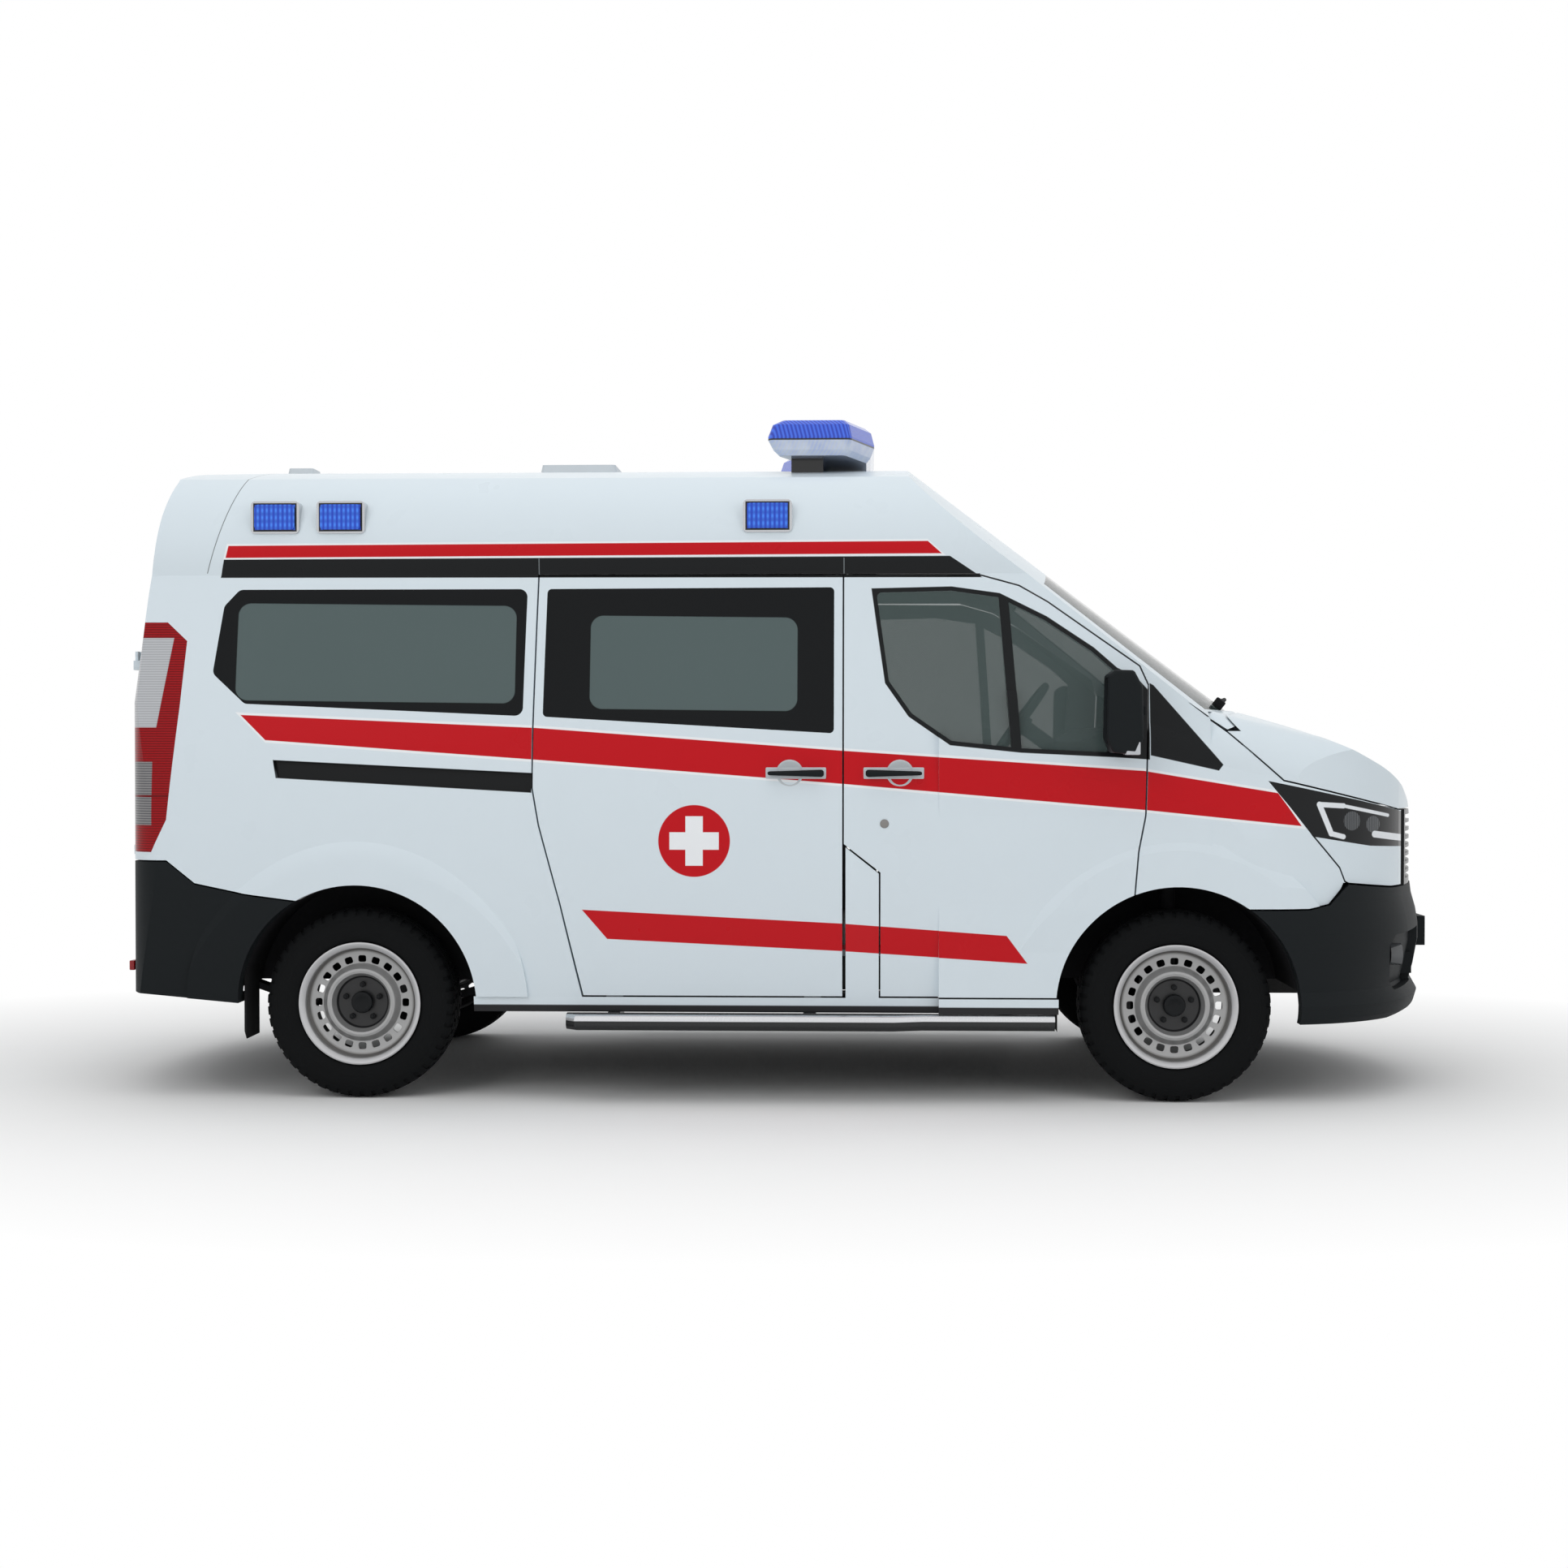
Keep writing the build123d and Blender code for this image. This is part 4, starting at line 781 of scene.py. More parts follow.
AXLES = (1.4465, -1.4865)
FINISHES: dict[str, Finish] = {
    "paint": BodyPaint("body_paint", Paints.BODY, 0.26, coat=0.15, grain=5.0, bump=0.0, shine=0.12),
    "sill": SillPaint("sill_paint", Paints.BODY, 0.30, coat=0.1, grain=180.0, bump=0.05, shine=0.2),
    "side_glass": WindowGlass(
        "side_glass", (0.115, 0.155, 0.155), 0.03, bump=0.0, clear=0.82, shine=0.14,
        fields=(((-0.276, 1.570), (0.372, 0.168)), ((-1.424, 1.608), (0.506, 0.176))),
    ),
    "door_glass": WindowGlass("door_glass", (0.095, 0.130, 0.126), 0.03, bump=0.0, clear=0.52, shine=0.16),
    "screen_glass": WindowGlass("screen_glass", (0.04, 0.062, 0.060), 0.03, bump=0.0, clear=0.55, shine=0.20),
    "rear_glass": WindowGlass("rear_glass", (0.02, 0.025, 0.027), 0.03, bump=0.0, clear=0.80, shine=0.25),
    "plastic": Finish("black_plastic", (0.0095, 0.0118, 0.0132), 0.55, grain=1400.0, bump=0.25, shine=0.12),
    "gloss_black": Finish("gloss_black", (0.006, 0.007, 0.008), 0.22, bump=0.0, shine=0.16),
    "chassis": Finish("chassis", (0.016, 0.016, 0.018), 0.75, grain=180.0, bump=0.3, mottle=0.4, shine=0.15),
    "wheel": WheelSteel("wheel_silver", (0.40, 0.40, 0.40), 0.38, 0.6, grain=500.0, bump=0.03, axles=AXLES),
    "tyre": TyreRubber("tyre", (0.006, 0.0065, 0.007), 0.75, grain=700.0, bump=0.30, axles=AXLES, shine=0.10),
    "headlamp": HeadlampLens("headlamp", (0.006, 0.007, 0.008), 0.06, coat=0.1, bump=0.0, shine=0.18),
    "tail": TailLens("tail_lamp", (0.15, 0.001, 0.003), 0.08, coat=0.05, bump=0.0, shine=0.15),
    "bar": LightBarLens("light_bar", (0.010, 0.040, 0.46), 0.10, coat=0.3, grain=60.0, bump=0.03, shine=0.4),
    "warning": WarningLens(
        "warning_lamp", (0.008, 0.055, 0.55), 0.12, coat=0.2, bump=0.02, shine=0.3,
        centres=((-1.804, 2.103), (-1.564, 2.103), (-0.014, 2.103)),
    ),
    "vent": Finish("roof_vent", (0.62, 0.66, 0.69), 0.45, grain=120.0, bump=0.04, shine=0.3),
    "recess": Finish("handle_recess", (0.56, 0.60, 0.63), 0.35, grain=40.0, bump=0.01, shine=0.3),
    "clear": Finish("clear_lens", (0.55, 0.57, 0.60), 0.10, coat=0.3, grain=60.0, bump=0.02),
    "red": Finish("red_lens", (0.34, 0.004, 0.008), 0.15, coat=0.3, grain=60.0, bump=0.02, shine=0.3),
    "plate": Finish("blank_plate", (0.62, 0.64, 0.66), 0.40, grain=120.0, bump=0.02, shine=0.3),
    "fog": Finish("fog_lens", (0.09, 0.095, 0.10), 0.10, coat=0.5, grain=60.0, bump=0.02, shine=0.4),
    "interior": Finish("interior_plastic", (0.055, 0.058, 0.062), 0.62, grain=900.0, bump=0.3),
    "trim": Finish("pale_trim", (0.46, 0.47, 0.48), 0.55, grain=600.0, bump=0.12),
    "fabric": Fabric("seat_fabric", (0.045, 0.05, 0.06), 0.85, grain=90.0, bump=0.12, mottle=0.2, shine=0.2),
    "vinyl": Finish("mattress_vinyl", (0.03, 0.05, 0.11), 0.42, grain=350.0, bump=0.25, mottle=0.15),
    "step": StepMetal("step_silver", (0.74, 0.75, 0.77), 0.26, grain=500.0, bump=0.03),
    "cast": Finish("cast_iron", (0.07, 0.07, 0.07), 0.75, 0.6, grain=220.0, bump=0.5, mottle=0.3),
    "steel": Finish("steel", (0.30, 0.29, 0.28), 0.42, 0.9, grain=160.0, bump=0.1, mottle=0.3),
    "chrome": Finish("bright_metal", (0.78, 0.79, 0.80), 0.12, 1.0, grain=300.0, bump=0.01),
    "rubber": Finish("rubber", (0.012, 0.012, 0.013), 0.80, grain=500.0, bump=0.25, shine=0.15),
    "mirror": Finish("mirror_glass", (0.70, 0.74, 0.76), 0.02, 1.0, bump=0.0),
}

NODE_FINISH: dict[str, str] = {
    "door_glass_right": "door_glass", "door_glass_left": "door_glass", "side_glass": "side_glass",
    "windscreen": "screen_glass", "rear_glass_right": "rear_glass", "rear_glass_left": "rear_glass",
    "front_bumper": "plastic", "rear_bumper": "plastic", "grille": "gloss_black", "roof_vents": "vent",
    "door_mirror_right": "plastic", "door_mirror_left": "plastic", "headlamps": "headlamp",
    "tail_lamps": "tail", "warning_lamps": "warning", "light_bar": "bar", "dashboard": "interior",
    "steering_wheel": "interior", "seats": "fabric", "side_steps": "step", "mud_flaps": "rubber",
    "wheel_housings": "chassis", "floor_pan": "sill", "front_subframe": "chassis",
    "rear_axle": "chassis", "fuel_tank": "chassis", "exhaust": "steel", "knuckle_right": "cast",
    "knuckle_left": "cast", "engine_block": "cast", "bulkhead": "trim", "fog_lamps": "fog",
    "crew_bench": "vinyl", "cabinet": "trim", "stretcher_frame": "chrome", "mattress": "vinyl",
}


class Wardrobe:
    """Builds each finish once and gives it to pieces and nodes."""

    def __init__(self) -> None:
        """Starts with no material built."""
        self._built: dict[str, bpy.types.Material] = {}

    def get(self, finish: str) -> bpy.types.Material:
        """The material of a finish, built when first asked for."""
        if finish not in self._built:
            self._built[finish] = FINISHES[finish].material()
        return self._built[finish]

    def dress(self, obj: bpy.types.Object, finish: str) -> None:
        """Gives an object one finish all over."""
        if not obj.data.materials:
            obj.data.materials.append(None)
        for place in range(len(obj.data.materials)):
            obj.data.materials[place] = self.get(finish)

    def dress_nodes(self, nodes: dict[str, bpy.types.Object]) -> None:
        """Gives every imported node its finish."""
        for name, obj in nodes.items():
            finish = NODE_FINISH.get(name)
            if finish is None:
                finish = "tyre" if name.startswith("tyre") else "wheel" if name.startswith("rim") else "paint"
            self.dress(obj, finish)


# ---------------------------------------------------------------- modelling
def only(obj: bpy.types.Object) -> None:
    """Selects one object and nothing else."""
    bpy.ops.object.select_all(action="DESELECT")
    obj.select_set(True)
    bpy.context.view_layer.objects.active = obj


def settle(obj: bpy.types.Object) -> bpy.types.Object:
    """Puts an object's place, turn and scale into its mesh."""
    only(obj)
    bpy.ops.object.transform_apply(location=True, rotation=True, scale=True)
    return obj


def modify(obj: bpy.types.Object, kind: str, **settings: Any) -> bpy.types.Object:
    """Adds a modifier and applies it.

    Args:
        obj: the mesh object.
        kind: the modifier's type.
        **settings: its settings.

    Returns:
        The object.
    """
    only(obj)
    modifier = obj.modifiers.new(kind.lower(), kind)
    for key, value in settings.items():
        setattr(modifier, key, value)
    bpy.ops.object.modifier_apply(modifier=modifier.name)
    return obj


def smooth(obj: bpy.types.Object, angle: float = 40.0) -> bpy.types.Object:
    """Shades an object smooth up to an angle in degrees."""
    only(obj)
    bpy.ops.object.shade_smooth_by_angle(angle=math.radians(angle))
    return obj


def block(name: str, low: Place, high: Place, radius: float, segments: int = 3) -> bpy.types.Object:
    """A box with rounded edges.

    Args:
        name: the object's name.
        low: its lowest corner.
        high: its highest corner.
        radius: the edges' radius.
        segments: faces round each edge.

    Returns:
        The object.
    """
    centre = [(a + b) / 2 for a, b in zip(low, high)]
    bpy.ops.object.select_all(action="DESELECT")
    bpy.ops.mesh.primitive_cube_add(size=1.0, location=centre, scale=[b - a for a, b in zip(low, high)])
    obj = settle(bpy.context.object)
    obj.name = name
    modify(obj, "BEVEL", width=radius, segments=segments, limit_method="NONE")
    return smooth(obj)


def bar(name: str, start: Place, end: Place, radius: float, sides: int = 16) -> bpy.types.Object:
    """A round bar with softened ends.

    Args:
        name: the object's name.
        start: the middle of one end.
        end: the middle of the other.
        radius: its radius.
        sides: faces around it.

    Returns:
        The object.
    """
    run = Vector(end) - Vector(start)
    bpy.ops.object.select_all(action="DESELECT")
    bpy.ops.mesh.primitive_cylinder_add(
        vertices=sides, radius=radius, depth=run.length, location=(Vector(start) + Vector(end)) / 2,
        rotation=run.to_track_quat("Z", "Y").to_euler(),
    )
    obj = settle(bpy.context.object)
    obj.name = name
    modify(obj, "BEVEL", width=radius * 0.25, segments=2, limit_method="ANGLE", angle_limit=math.radians(50))
    return smooth(obj)


def lathe(name: str, profile: Sequence[Point], centre: Place, sign: int, steps: int) -> bpy.types.Object:
    """A closed ring turned about a wheel's axis.

    Args:
        name: the object's name.
        profile: closed outline, distance from the axis and distance outboard of the centre.
        centre: the wheel's centre.
        sign: 1 on the left of the vehicle and -1 on the right.
        steps: faces around the axis.

    Returns:
        The object.
    """
    bpy.ops.object.select_all(action="DESELECT")
    bpy.ops.mesh.primitive_circle_add(vertices=len(profile), radius=1.0, location=(0, 0, 0))
    obj = bpy.context.object
    obj.name = name
    for vertex, (radius, outboard) in zip(obj.data.vertices, profile):
        vertex.co = (centre[0] + radius, centre[1] + sign * outboard, centre[2])
    only(obj)
    bpy.ops.object.mode_set(mode="EDIT")
    bpy.ops.mesh.select_all(action="SELECT")
    bpy.ops.mesh.spin(steps=steps, angle=2 * math.pi, center=centre, axis=(0, 1, 0))
    bpy.ops.mesh.select_all(action="SELECT")
    bpy.ops.mesh.remove_doubles(threshold=0.00002)
    bpy.ops.mesh.normals_make_consistent(inside=False)
    bpy.ops.object.mode_set(mode="OBJECT")
    return obj


def pick_faces(obj: bpy.types.Object, test: Callable[[Vector, Vector], bool]) -> int:
    """Selects the faces that pass a test, in edit mode.

    Args:
        obj: the mesh object.
        test: takes a face's centre and normal.

    Returns:
        How many faces are selected.
    """
    only(obj)
    bpy.ops.object.mode_set(mode="EDIT")
    bpy.ops.mesh.select_mode(type="FACE")
    bpy.ops.mesh.select_all(action="DESELECT")
    bpy.ops.object.mode_set(mode="OBJECT")
    found = 0
    for face in obj.data.polygons:
        face.select = test(face.center, face.normal)
        found += face.select
    bpy.ops.object.mode_set(mode="EDIT")
    return found


def join(name: str, parts: Iterable[bpy.types.Object]) -> bpy.types.Object:
    """Joins objects into one."""
    parts = list(parts)
    bpy.ops.object.select_all(action="DESELECT")
    for part in parts:
        part.select_set(True)
    bpy.context.view_layer.objects.active = parts[0]
    if len(parts) > 1:
        bpy.ops.object.join()
    parts[0].name = name
    return parts[0]


def copy_of(obj: bpy.types.Object, name: str, change: Matrix) -> bpy.types.Object:
    """A copy with its own mesh, moved in that mesh.

    Args:
        obj: the object.
        name: the copy's name.
        change: how the copy's mesh is moved and turned.

    Returns:
        The copy.
    """
    twin = obj.copy()
    twin.data = obj.data.copy()
    twin.data.transform(change)
    twin.name = name
    bpy.context.scene.collection.objects.link(twin)
    return twin


class Workshop:
    """What every sub-assembly needs: the frame, the finishes and a way to hand a piece over."""

    def __init__(self, frame: dict[str, Any], wardrobe: Wardrobe) -> None:
        """Keeps the frame and the finishes."""
        self.nodes: dict[str, bpy.types.Object] = frame["nodes"]
        self.wardrobe = wardrobe
        self.count = 0

    def deliver(
        self, obj: bpy.types.Object, finish: str, slot: FinishName, body: str, replaces: Sequence[str] = ()
    ) -> bpy.types.Object:
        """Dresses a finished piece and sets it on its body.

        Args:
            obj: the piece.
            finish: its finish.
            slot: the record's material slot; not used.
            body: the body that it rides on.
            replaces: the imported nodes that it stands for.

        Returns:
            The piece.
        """
        self.wardrobe.dress(obj, finish)
        if replaces:
            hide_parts(*replaces)
        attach(obj, body)
        self.count += 1
        LOG.info("%s rides on %s", obj.name, body)
        return obj

    def skin(self, node: str, x: float, z: float, side: int) -> float:
        """How far out a node's outer face lies.

        Args:
            node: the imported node.
            x: where along the vehicle.
            z: the height.
            side: 1 on the left and -1 on the right.

        Returns:
            The face's y.
        """
        hit, place, _, _ = self.nodes[node].ray_cast(Vector((x, 1.4 * side, z)), Vector((0, -side, 0)))
        if not hit:
            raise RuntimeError(f"{node} has no face at x={x}, z={z}")
        return place.y

    def ahead(self, node: str, y: float, z: float, way: int) -> float:
        """Where a node's first face lies, met along the vehicle.

        Args:
            node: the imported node.
            y: how far to the left.
            z: the height.
            way: 1 when met from behind and -1 when met from the front.

        Returns:
            The face's x.
        """
        hit, place, _, _ = self.nodes[node].ray_cast(Vector((-3.0 * way, y, z)), Vector((way, 0, 0)))
        if not hit:
            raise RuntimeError(f"{node} has no face at y={y}, z={z}")
        return place.x


# ---------------------------------------------------------------- sub-assemblies
@dataclass
class Wheels:
    """Tyres with tread, vented steel wheels, wheel nuts and hub caps.

    Each is modelled once about the origin, facing the vehicle's right, then copied to its place.

    Attributes:
        shop: what the sub-assembly works with.
        steps: faces around each tyre and wheel.
        nut_circle: radius on which the nuts sit.
        nuts: how many there are.
        cap_radius: radius of the hub cap.
        face: how far the hub's face lies outboard of the wheel's middle.
        vent_circle: radius on which the vents lie.
        vents: how many there are.
        vent_half: half a vent's size, outward and around.
    """

    shop: Workshop
    steps: int = 144
    nut_circle: float = 0.064
    nuts: int = 5
    cap_radius: float = 0.040
    face: float = 0.034
    vent_circle: float = 0.1585
    vents: int = 20
    vent_half: Point = (0.0125, 0.0145)

    def _profile(self) -> list[Point]:
        """The tyre's closed section, from the bead over the tread and back."""
        half = [
            (0.2065, 0.060), (0.2065, 0.0815), (0.216, 0.0835), (0.2235, 0.0835), (0.2265, 0.0915),
            (0.238, 0.0985), (0.255, 0.1045), (0.272, 0.1065), (0.290, 0.1055), (0.306, 0.1025),
            (0.318, 0.0985), (0.327, 0.0940), (0.3345, 0.0870), (0.3385, 0.0790), (0.3400, 0.0640),
            (0.3405, 0.0560), (0.3340, 0.0545), (0.3340, 0.0485), (0.3415, 0.0470), (0.3425, 0.0220),
            (0.3350, 0.0205), (0.3350, 0.0125), (0.3428, 0.0110),
        ]
        return half + [(radius, -out) for radius, out in reversed(half)]

    def _rim_profile(self) -> list[Point]:
        """The wheel's closed section: rim, flange, vented web, raised ring and dish."""
        return [
            (0.2215, -0.092), (0.206, -0.082), (0.206, -0.052), (0.190, -0.034), (0.190, 0.018),
            (0.2055, 0.034), (0.2055, 0.080), (0.2190, 0.0895), (0.2215, 0.0935), (0.2210, 0.0975),
            (0.2165, 0.0990), (0.2085, 0.0955), (0.2000, 0.0850), (0.1975, 0.0640), (0.1900, 0.0550),
            (0.1780, 0.0510), (0.1420, 0.0480), (0.1350, 0.0540), (0.1290, 0.0650), (0.1230, 0.0715),
            (0.1150, 0.0735), (0.1070, 0.0710), (0.1010, 0.0610), (0.0950, 0.0430), (0.0890, 0.0360),
            (0.0500, 0.0340), (0.0, 0.0340), (0.0, 0.0270), (0.0970, 0.0270), (0.1130, 0.0620),
            (0.1200, 0.0620), (0.1350, 0.0400), (0.1800, 0.0420), (0.1820, 0.0260), (0.1820, -0.0400),
            (0.1980, -0.0580), (0.1980, -0.0860), (0.2120, -0.0980), (0.2215, -0.0980),
        ]

    def _tyre(self) -> bpy.types.Object:
        """One tyre with lateral grooves in its shoulders and middle rib."""
        tyre = lathe("tyre_pattern", self._profile(), (0, 0, 0), -1, self.steps)
        pitch = 2 * math.pi / self.steps

        def grooved(place: Vector, _: Vector) -> bool:
            """Whether the face at that place is cut as a groove."""
            radius, out = math.hypot(place.x, place.z), abs(place.y)
            turn = round((math.atan2(place.z, place.x) + math.pi) / pitch - 0.5)
            shoulder = 0.320 < radius and 0.056 < out < 0.097 and turn % 3 == 0
            rib = 0.3405 < radius and 0.022 < out < 0.047 and turn % 3 == 1
            return shoulder or rib

        pick_faces(tyre, grooved)
        bpy.ops.mesh.extrude_region_move()
        bpy.ops.transform.shrink_fatten(value=-0.005)
        bpy.ops.object.mode_set(mode="OBJECT")
        return smooth(tyre, 32.0)

    def _rim(self) -> bpy.types.Object:
        """One steel wheel with its ring of vents cut through."""
        rim = lathe("rim_pattern", self._rim_profile(), (0, 0, 0), -1, self.steps)
        deep, wide = self.vent_half
        low = (self.vent_circle - deep, -0.070, -wide)
        high = (self.vent_circle + deep, -0.030, wide)
        first = block("vent", low, high, 0.0075, 3)
        cutters = [first]
        for number in range(1, self.vents):
            turn = Matrix.Rotation(number * 2 * math.pi / self.vents, 4, "Y")
            cutters.append(copy_of(first, "vent", turn))
        cutter = join("vents", cutters)
        modify(rim, "BOOLEAN", operation="DIFFERENCE", object=cutter, solver="EXACT")
        bpy.data.objects.remove(cutter)
        return smooth(rim, 28.0)

    def _hub(self) -> bpy.types.Object:
        """Nuts, studs and hub cap."""
        face = -(self.face - 0.001)
        parts = [bar("hub_pattern", (0, face, 0), (0, face - 0.030, 0), self.cap_radius, 32)]
        pick_faces(parts[0], lambda place, normal: normal.y < -0.99 and math.hypot(place.x, place.z) < 0.001)
        bpy.ops.mesh.inset(thickness=0.008)
        bpy.ops.transform.translate(value=(0, 0.004, 0))
        bpy.ops.object.mode_set(mode="OBJECT")
        for number in range(self.nuts):
            turn = math.pi / 2 + number * 2 * math.pi / self.nuts
            x, z = self.nut_circle * math.cos(turn), self.nut_circle * math.sin(turn)
            parts.append(bar("nut", (x, face, z), (x, face - 0.018, z), 0.0115, 6))
            parts.append(bar("stud", (x, face, z), (x, face - 0.026, z), 0.0065, 12))
        return join("hub_pattern", parts)

    def build(self) -> None:
        """Builds all four wheels' pieces."""
        makers = (
            ("tread", self._tyre(), "tyre", FinishName.TYRE, "tyre"),
            ("disc", self._rim(), "wheel", FinishName.WHEEL, "rim"),
            ("hub", self._hub(), "gloss_black", FinishName.PLASTIC, ""),
        )
        for end in ("front", "rear"):
            for side, sign in SIDES.items():
                low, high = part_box(f"tyre_{end}_{side}")
                turn = Matrix.Rotation(math.pi if sign > 0 else 0.0, 4, "Z")
                place = Matrix.Translation((low + high) / 2) @ turn
                for kind, pattern, finish, slot, node in makers:
                    piece = copy_of(pattern, f"{kind}_{end}_{side}", place)
                    replaced = [f"{node}_{end}_{side}"] if node else []
                    self.shop.deliver(piece, finish, slot, f"wheel_{end}_{side}", replaced)
        for _, pattern, *_ in makers:
            bpy.data.objects.remove(pattern)


@dataclass
class DoorHandles:
    """Grips in rounded recesses on the side doors, and their locks.

    Attributes:
        shop: what the sub-assembly works with.
        height: height of the side handles' middle.
        length: length of a recess.
        bowl: radius of the bowl behind the grip.
        lock: where a front door's lock lies, x and z.
    """

    shop: Workshop
    height: float = 1.176
    length: float = 0.216
    bowl: float = 0.049
    lock: Point = (0.407, 0.997)

    def _grip(self, name: str, node: str, x: float, sign: int, body: str, tail: float) -> None:
        """One handle: a raised rim, the dark recess in it and the grip over it.

        Args:
            name: start of the pieces' names.
            node: the panel that carries it.
            x: its middle along the vehicle.
            sign: 1 on the left and -1 on the right.
            body: the body that it rides on.
            tail: 1 where the grip reaches forward and -1 where it reaches back.
        """
        y = self.shop.skin(node, x, self.height, sign)
        half = self.length / 2
        low_y, high_y = sorted((y - sign * 0.006, y + sign * 0.0035))
        sleeve = block(name + "_rim", (x - half, low_y, self.height - 0.021),
                       (x + half, high_y, self.height + 0.021), 0.0046, 3)
        middle = x - tail * 0.022
        ends = [(middle, y + sign * out, self.height) for out in (-0.006, 0.005)]
        bowl = bar(name + "_bowl", ends[0], ends[1], self.bowl, 48)
        pick_faces(bowl, lambda place, normal: normal.y * sign > 0.99 and abs(place.x - middle) < 0.001)
        bpy.ops.mesh.inset(thickness=0.006)
        bpy.ops.transform.translate(value=(0, -sign * 0.0035, 0))
        bpy.ops.object.mode_set(mode="OBJECT")
        self.shop.deliver(join(name + "_rim", [sleeve, bowl]), "recess", FinishName.PAINT, body)
        low_y, high_y = sorted((y + sign * 0.006, y + sign * 0.030))
        grip = block(name + "_grip", (x - half + 0.008, low_y, self.height - 0.013),
                     (x + half - 0.008, high_y, self.height + 0.013), 0.010, 4)
        pick_faces(grip, lambda place, normal: (place.x - x) * tail < -(half - 0.030))
        bpy.ops.transform.resize(value=(1, 1, 0.55), center_override=(x, y, self.height))
        bpy.ops.object.mode_set(mode="OBJECT")
        self.shop.deliver(smooth(grip), "plastic", FinishName.PLASTIC, body)

    def build(self) -> None:
        """Builds every handle and lock."""
        self._grip("slide_handle", "sliding_door", 0.092, -1, "body", 1)
        for side, sign in SIDES.items():
            door = f"front_door_{side}"
            self._grip(f"{side}_handle", door, 0.440, sign, door, -1)
            x, z = self.lock
            y = self.shop.skin(door, x, z, sign)
            lock = bar(f"{side}_lock", (x, y - sign * 0.004, z), (x, y + sign * 0.004, z), 0.016, 24)
            self.shop.deliver(lock, "steel", FinishName.STEEL, door)


@dataclass
class Mirrors:
    """Mirror glass and the clear side lamp on each mirror.

    Attributes:
        shop: what the sub-assembly works with.
        glass_z: bottom and top of the mirror glass.
        lamp_z: bottom and top of the side lamp.
    """

    shop: Workshop
    glass_z: Point = (1.285, 1.508)
    lamp_z: Point = (1.242, 1.296)

    def build(self) -> None:
        """Builds the glass and lamp of both mirrors."""
        for side, sign in SIDES.items():
            low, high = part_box(f"door_mirror_{side}")
            out = max(abs(low.y), abs(high.y))
            body = f"front_door_{side}"
            y0, y1 = sorted((sign * (out - 0.118), sign * (out - 0.020)))
            z0, z1 = self.glass_z
            glass = block(f"{side}_mirror_glass", (low.x + 0.014, y0, z0), (low.x + 0.020, y1, z1), 0.0028, 3)
            self.shop.deliver(glass, "mirror", FinishName.GLASS, body)
            y0, y1 = sorted((sign * (out - 0.105), sign * (out - 0.0005)))
            z0, z1 = self.lamp_z
            lamp = block(f"{side}_mirror_lamp", (high.x - 0.080, y0, z0), (high.x - 0.030, y1, z1), 0.005, 3)
            self.shop.deliver(lamp, "clear", FinishName.CLEAR, body)


@dataclass
class Front:
    """Mesh behind the grille, and the wipers.

    Attributes:
        shop: what the sub-assembly works with.
        mesh_half: half the width of the mesh.
        bend: how far the mesh bends back, per metre across squared.
        wiper_rise: height at which a wiper's foot meets the screen.
    """

    shop: Workshop
    mesh_half: float = 0.520
    bend: float = 0.355
    wiper_rise: float = 1.418

    def _mesh(self) -> None:
        """A bent wire mesh close behind the grille's bars."""
        low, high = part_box("grille")
        height, middle = high.z - low.z - 0.03, (high.z + low.z) / 2
        bpy.ops.object.select_all(action="DESELECT")
        bpy.ops.mesh.primitive_grid_add(
            x_subdivisions=72, y_subdivisions=18, size=1.0, location=(0, 0, 0),
            rotation=(math.pi / 2, 0, math.pi / 2),
        )
        bpy.context.object.scale = (2 * self.mesh_half, height, 1)
        mesh = settle(bpy.context.object)
        mesh.name = "grille_mesh"
        for vertex in mesh.data.vertices:
            lean = 0.10 * max(0.0, vertex.co.z)
            vertex.co.x = high.x - 0.052 - self.bend * vertex.co.y**2 - lean
            vertex.co.z += middle
        modify(mesh, "WIREFRAME", thickness=0.0045, use_even_offset=False)
        self.shop.deliver(mesh, "gloss_black", FinishName.PLASTIC, "body")

    def _wiper(self, name: str, pivot_y: float, reach: float) -> None:
        """One wiper: a pivot cap, an arm and a blade on the screen."""
        screen = self.shop.nodes["windscreen"]
        points = []
        for y in (pivot_y, pivot_y + reach * 0.45, pivot_y + reach):
            rise = self.wiper_rise + 0.014 * abs(y - pivot_y) / abs(reach)
            hit, place, normal, _ = screen.ray_cast(Vector((2.6, y, rise)), Vector((-1, 0, 0)))
            if not hit:
                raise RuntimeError(f"the wiper {name} misses the screen at y={y}")
            points.append((place, normal))
        foot = points[0][0] + points[0][1] * 0.020
        tip = points[2][0] + points[2][1] * 0.024
        middle = points[1][0] + points[1][1] * 0.030
        out = points[0][1]
        arm = [
            bar(name + "_arm", tuple(foot), tuple(middle), 0.008, 12),
            bar(name + "_rod", tuple(middle), tuple(tip), 0.006, 12),
            bar(name + "_pivot", tuple(foot - out * 0.024), tuple(foot + out * 0.012), 0.020, 20),
        ]
        for share in (0.25, 0.75):
            start = points[1][0].lerp(points[2][0], share - 0.25) + points[1][1] * 0.012
            end = points[1][0].lerp(points[2][0], share + 0.25) + points[2][1] * 0.012
            arm.append(bar(name + "_blade", tuple(start), tuple(end), 0.007, 8))
        self.shop.deliver(join(name, arm), "rubber", FinishName.RUBBER, "body")

    def build(self) -> None:
        """Builds the front's pieces."""
        self._mesh()
        self._wiper("right_wiper", -0.62, 0.52)
        self._wiper("left_wiper", 0.10, 0.56)


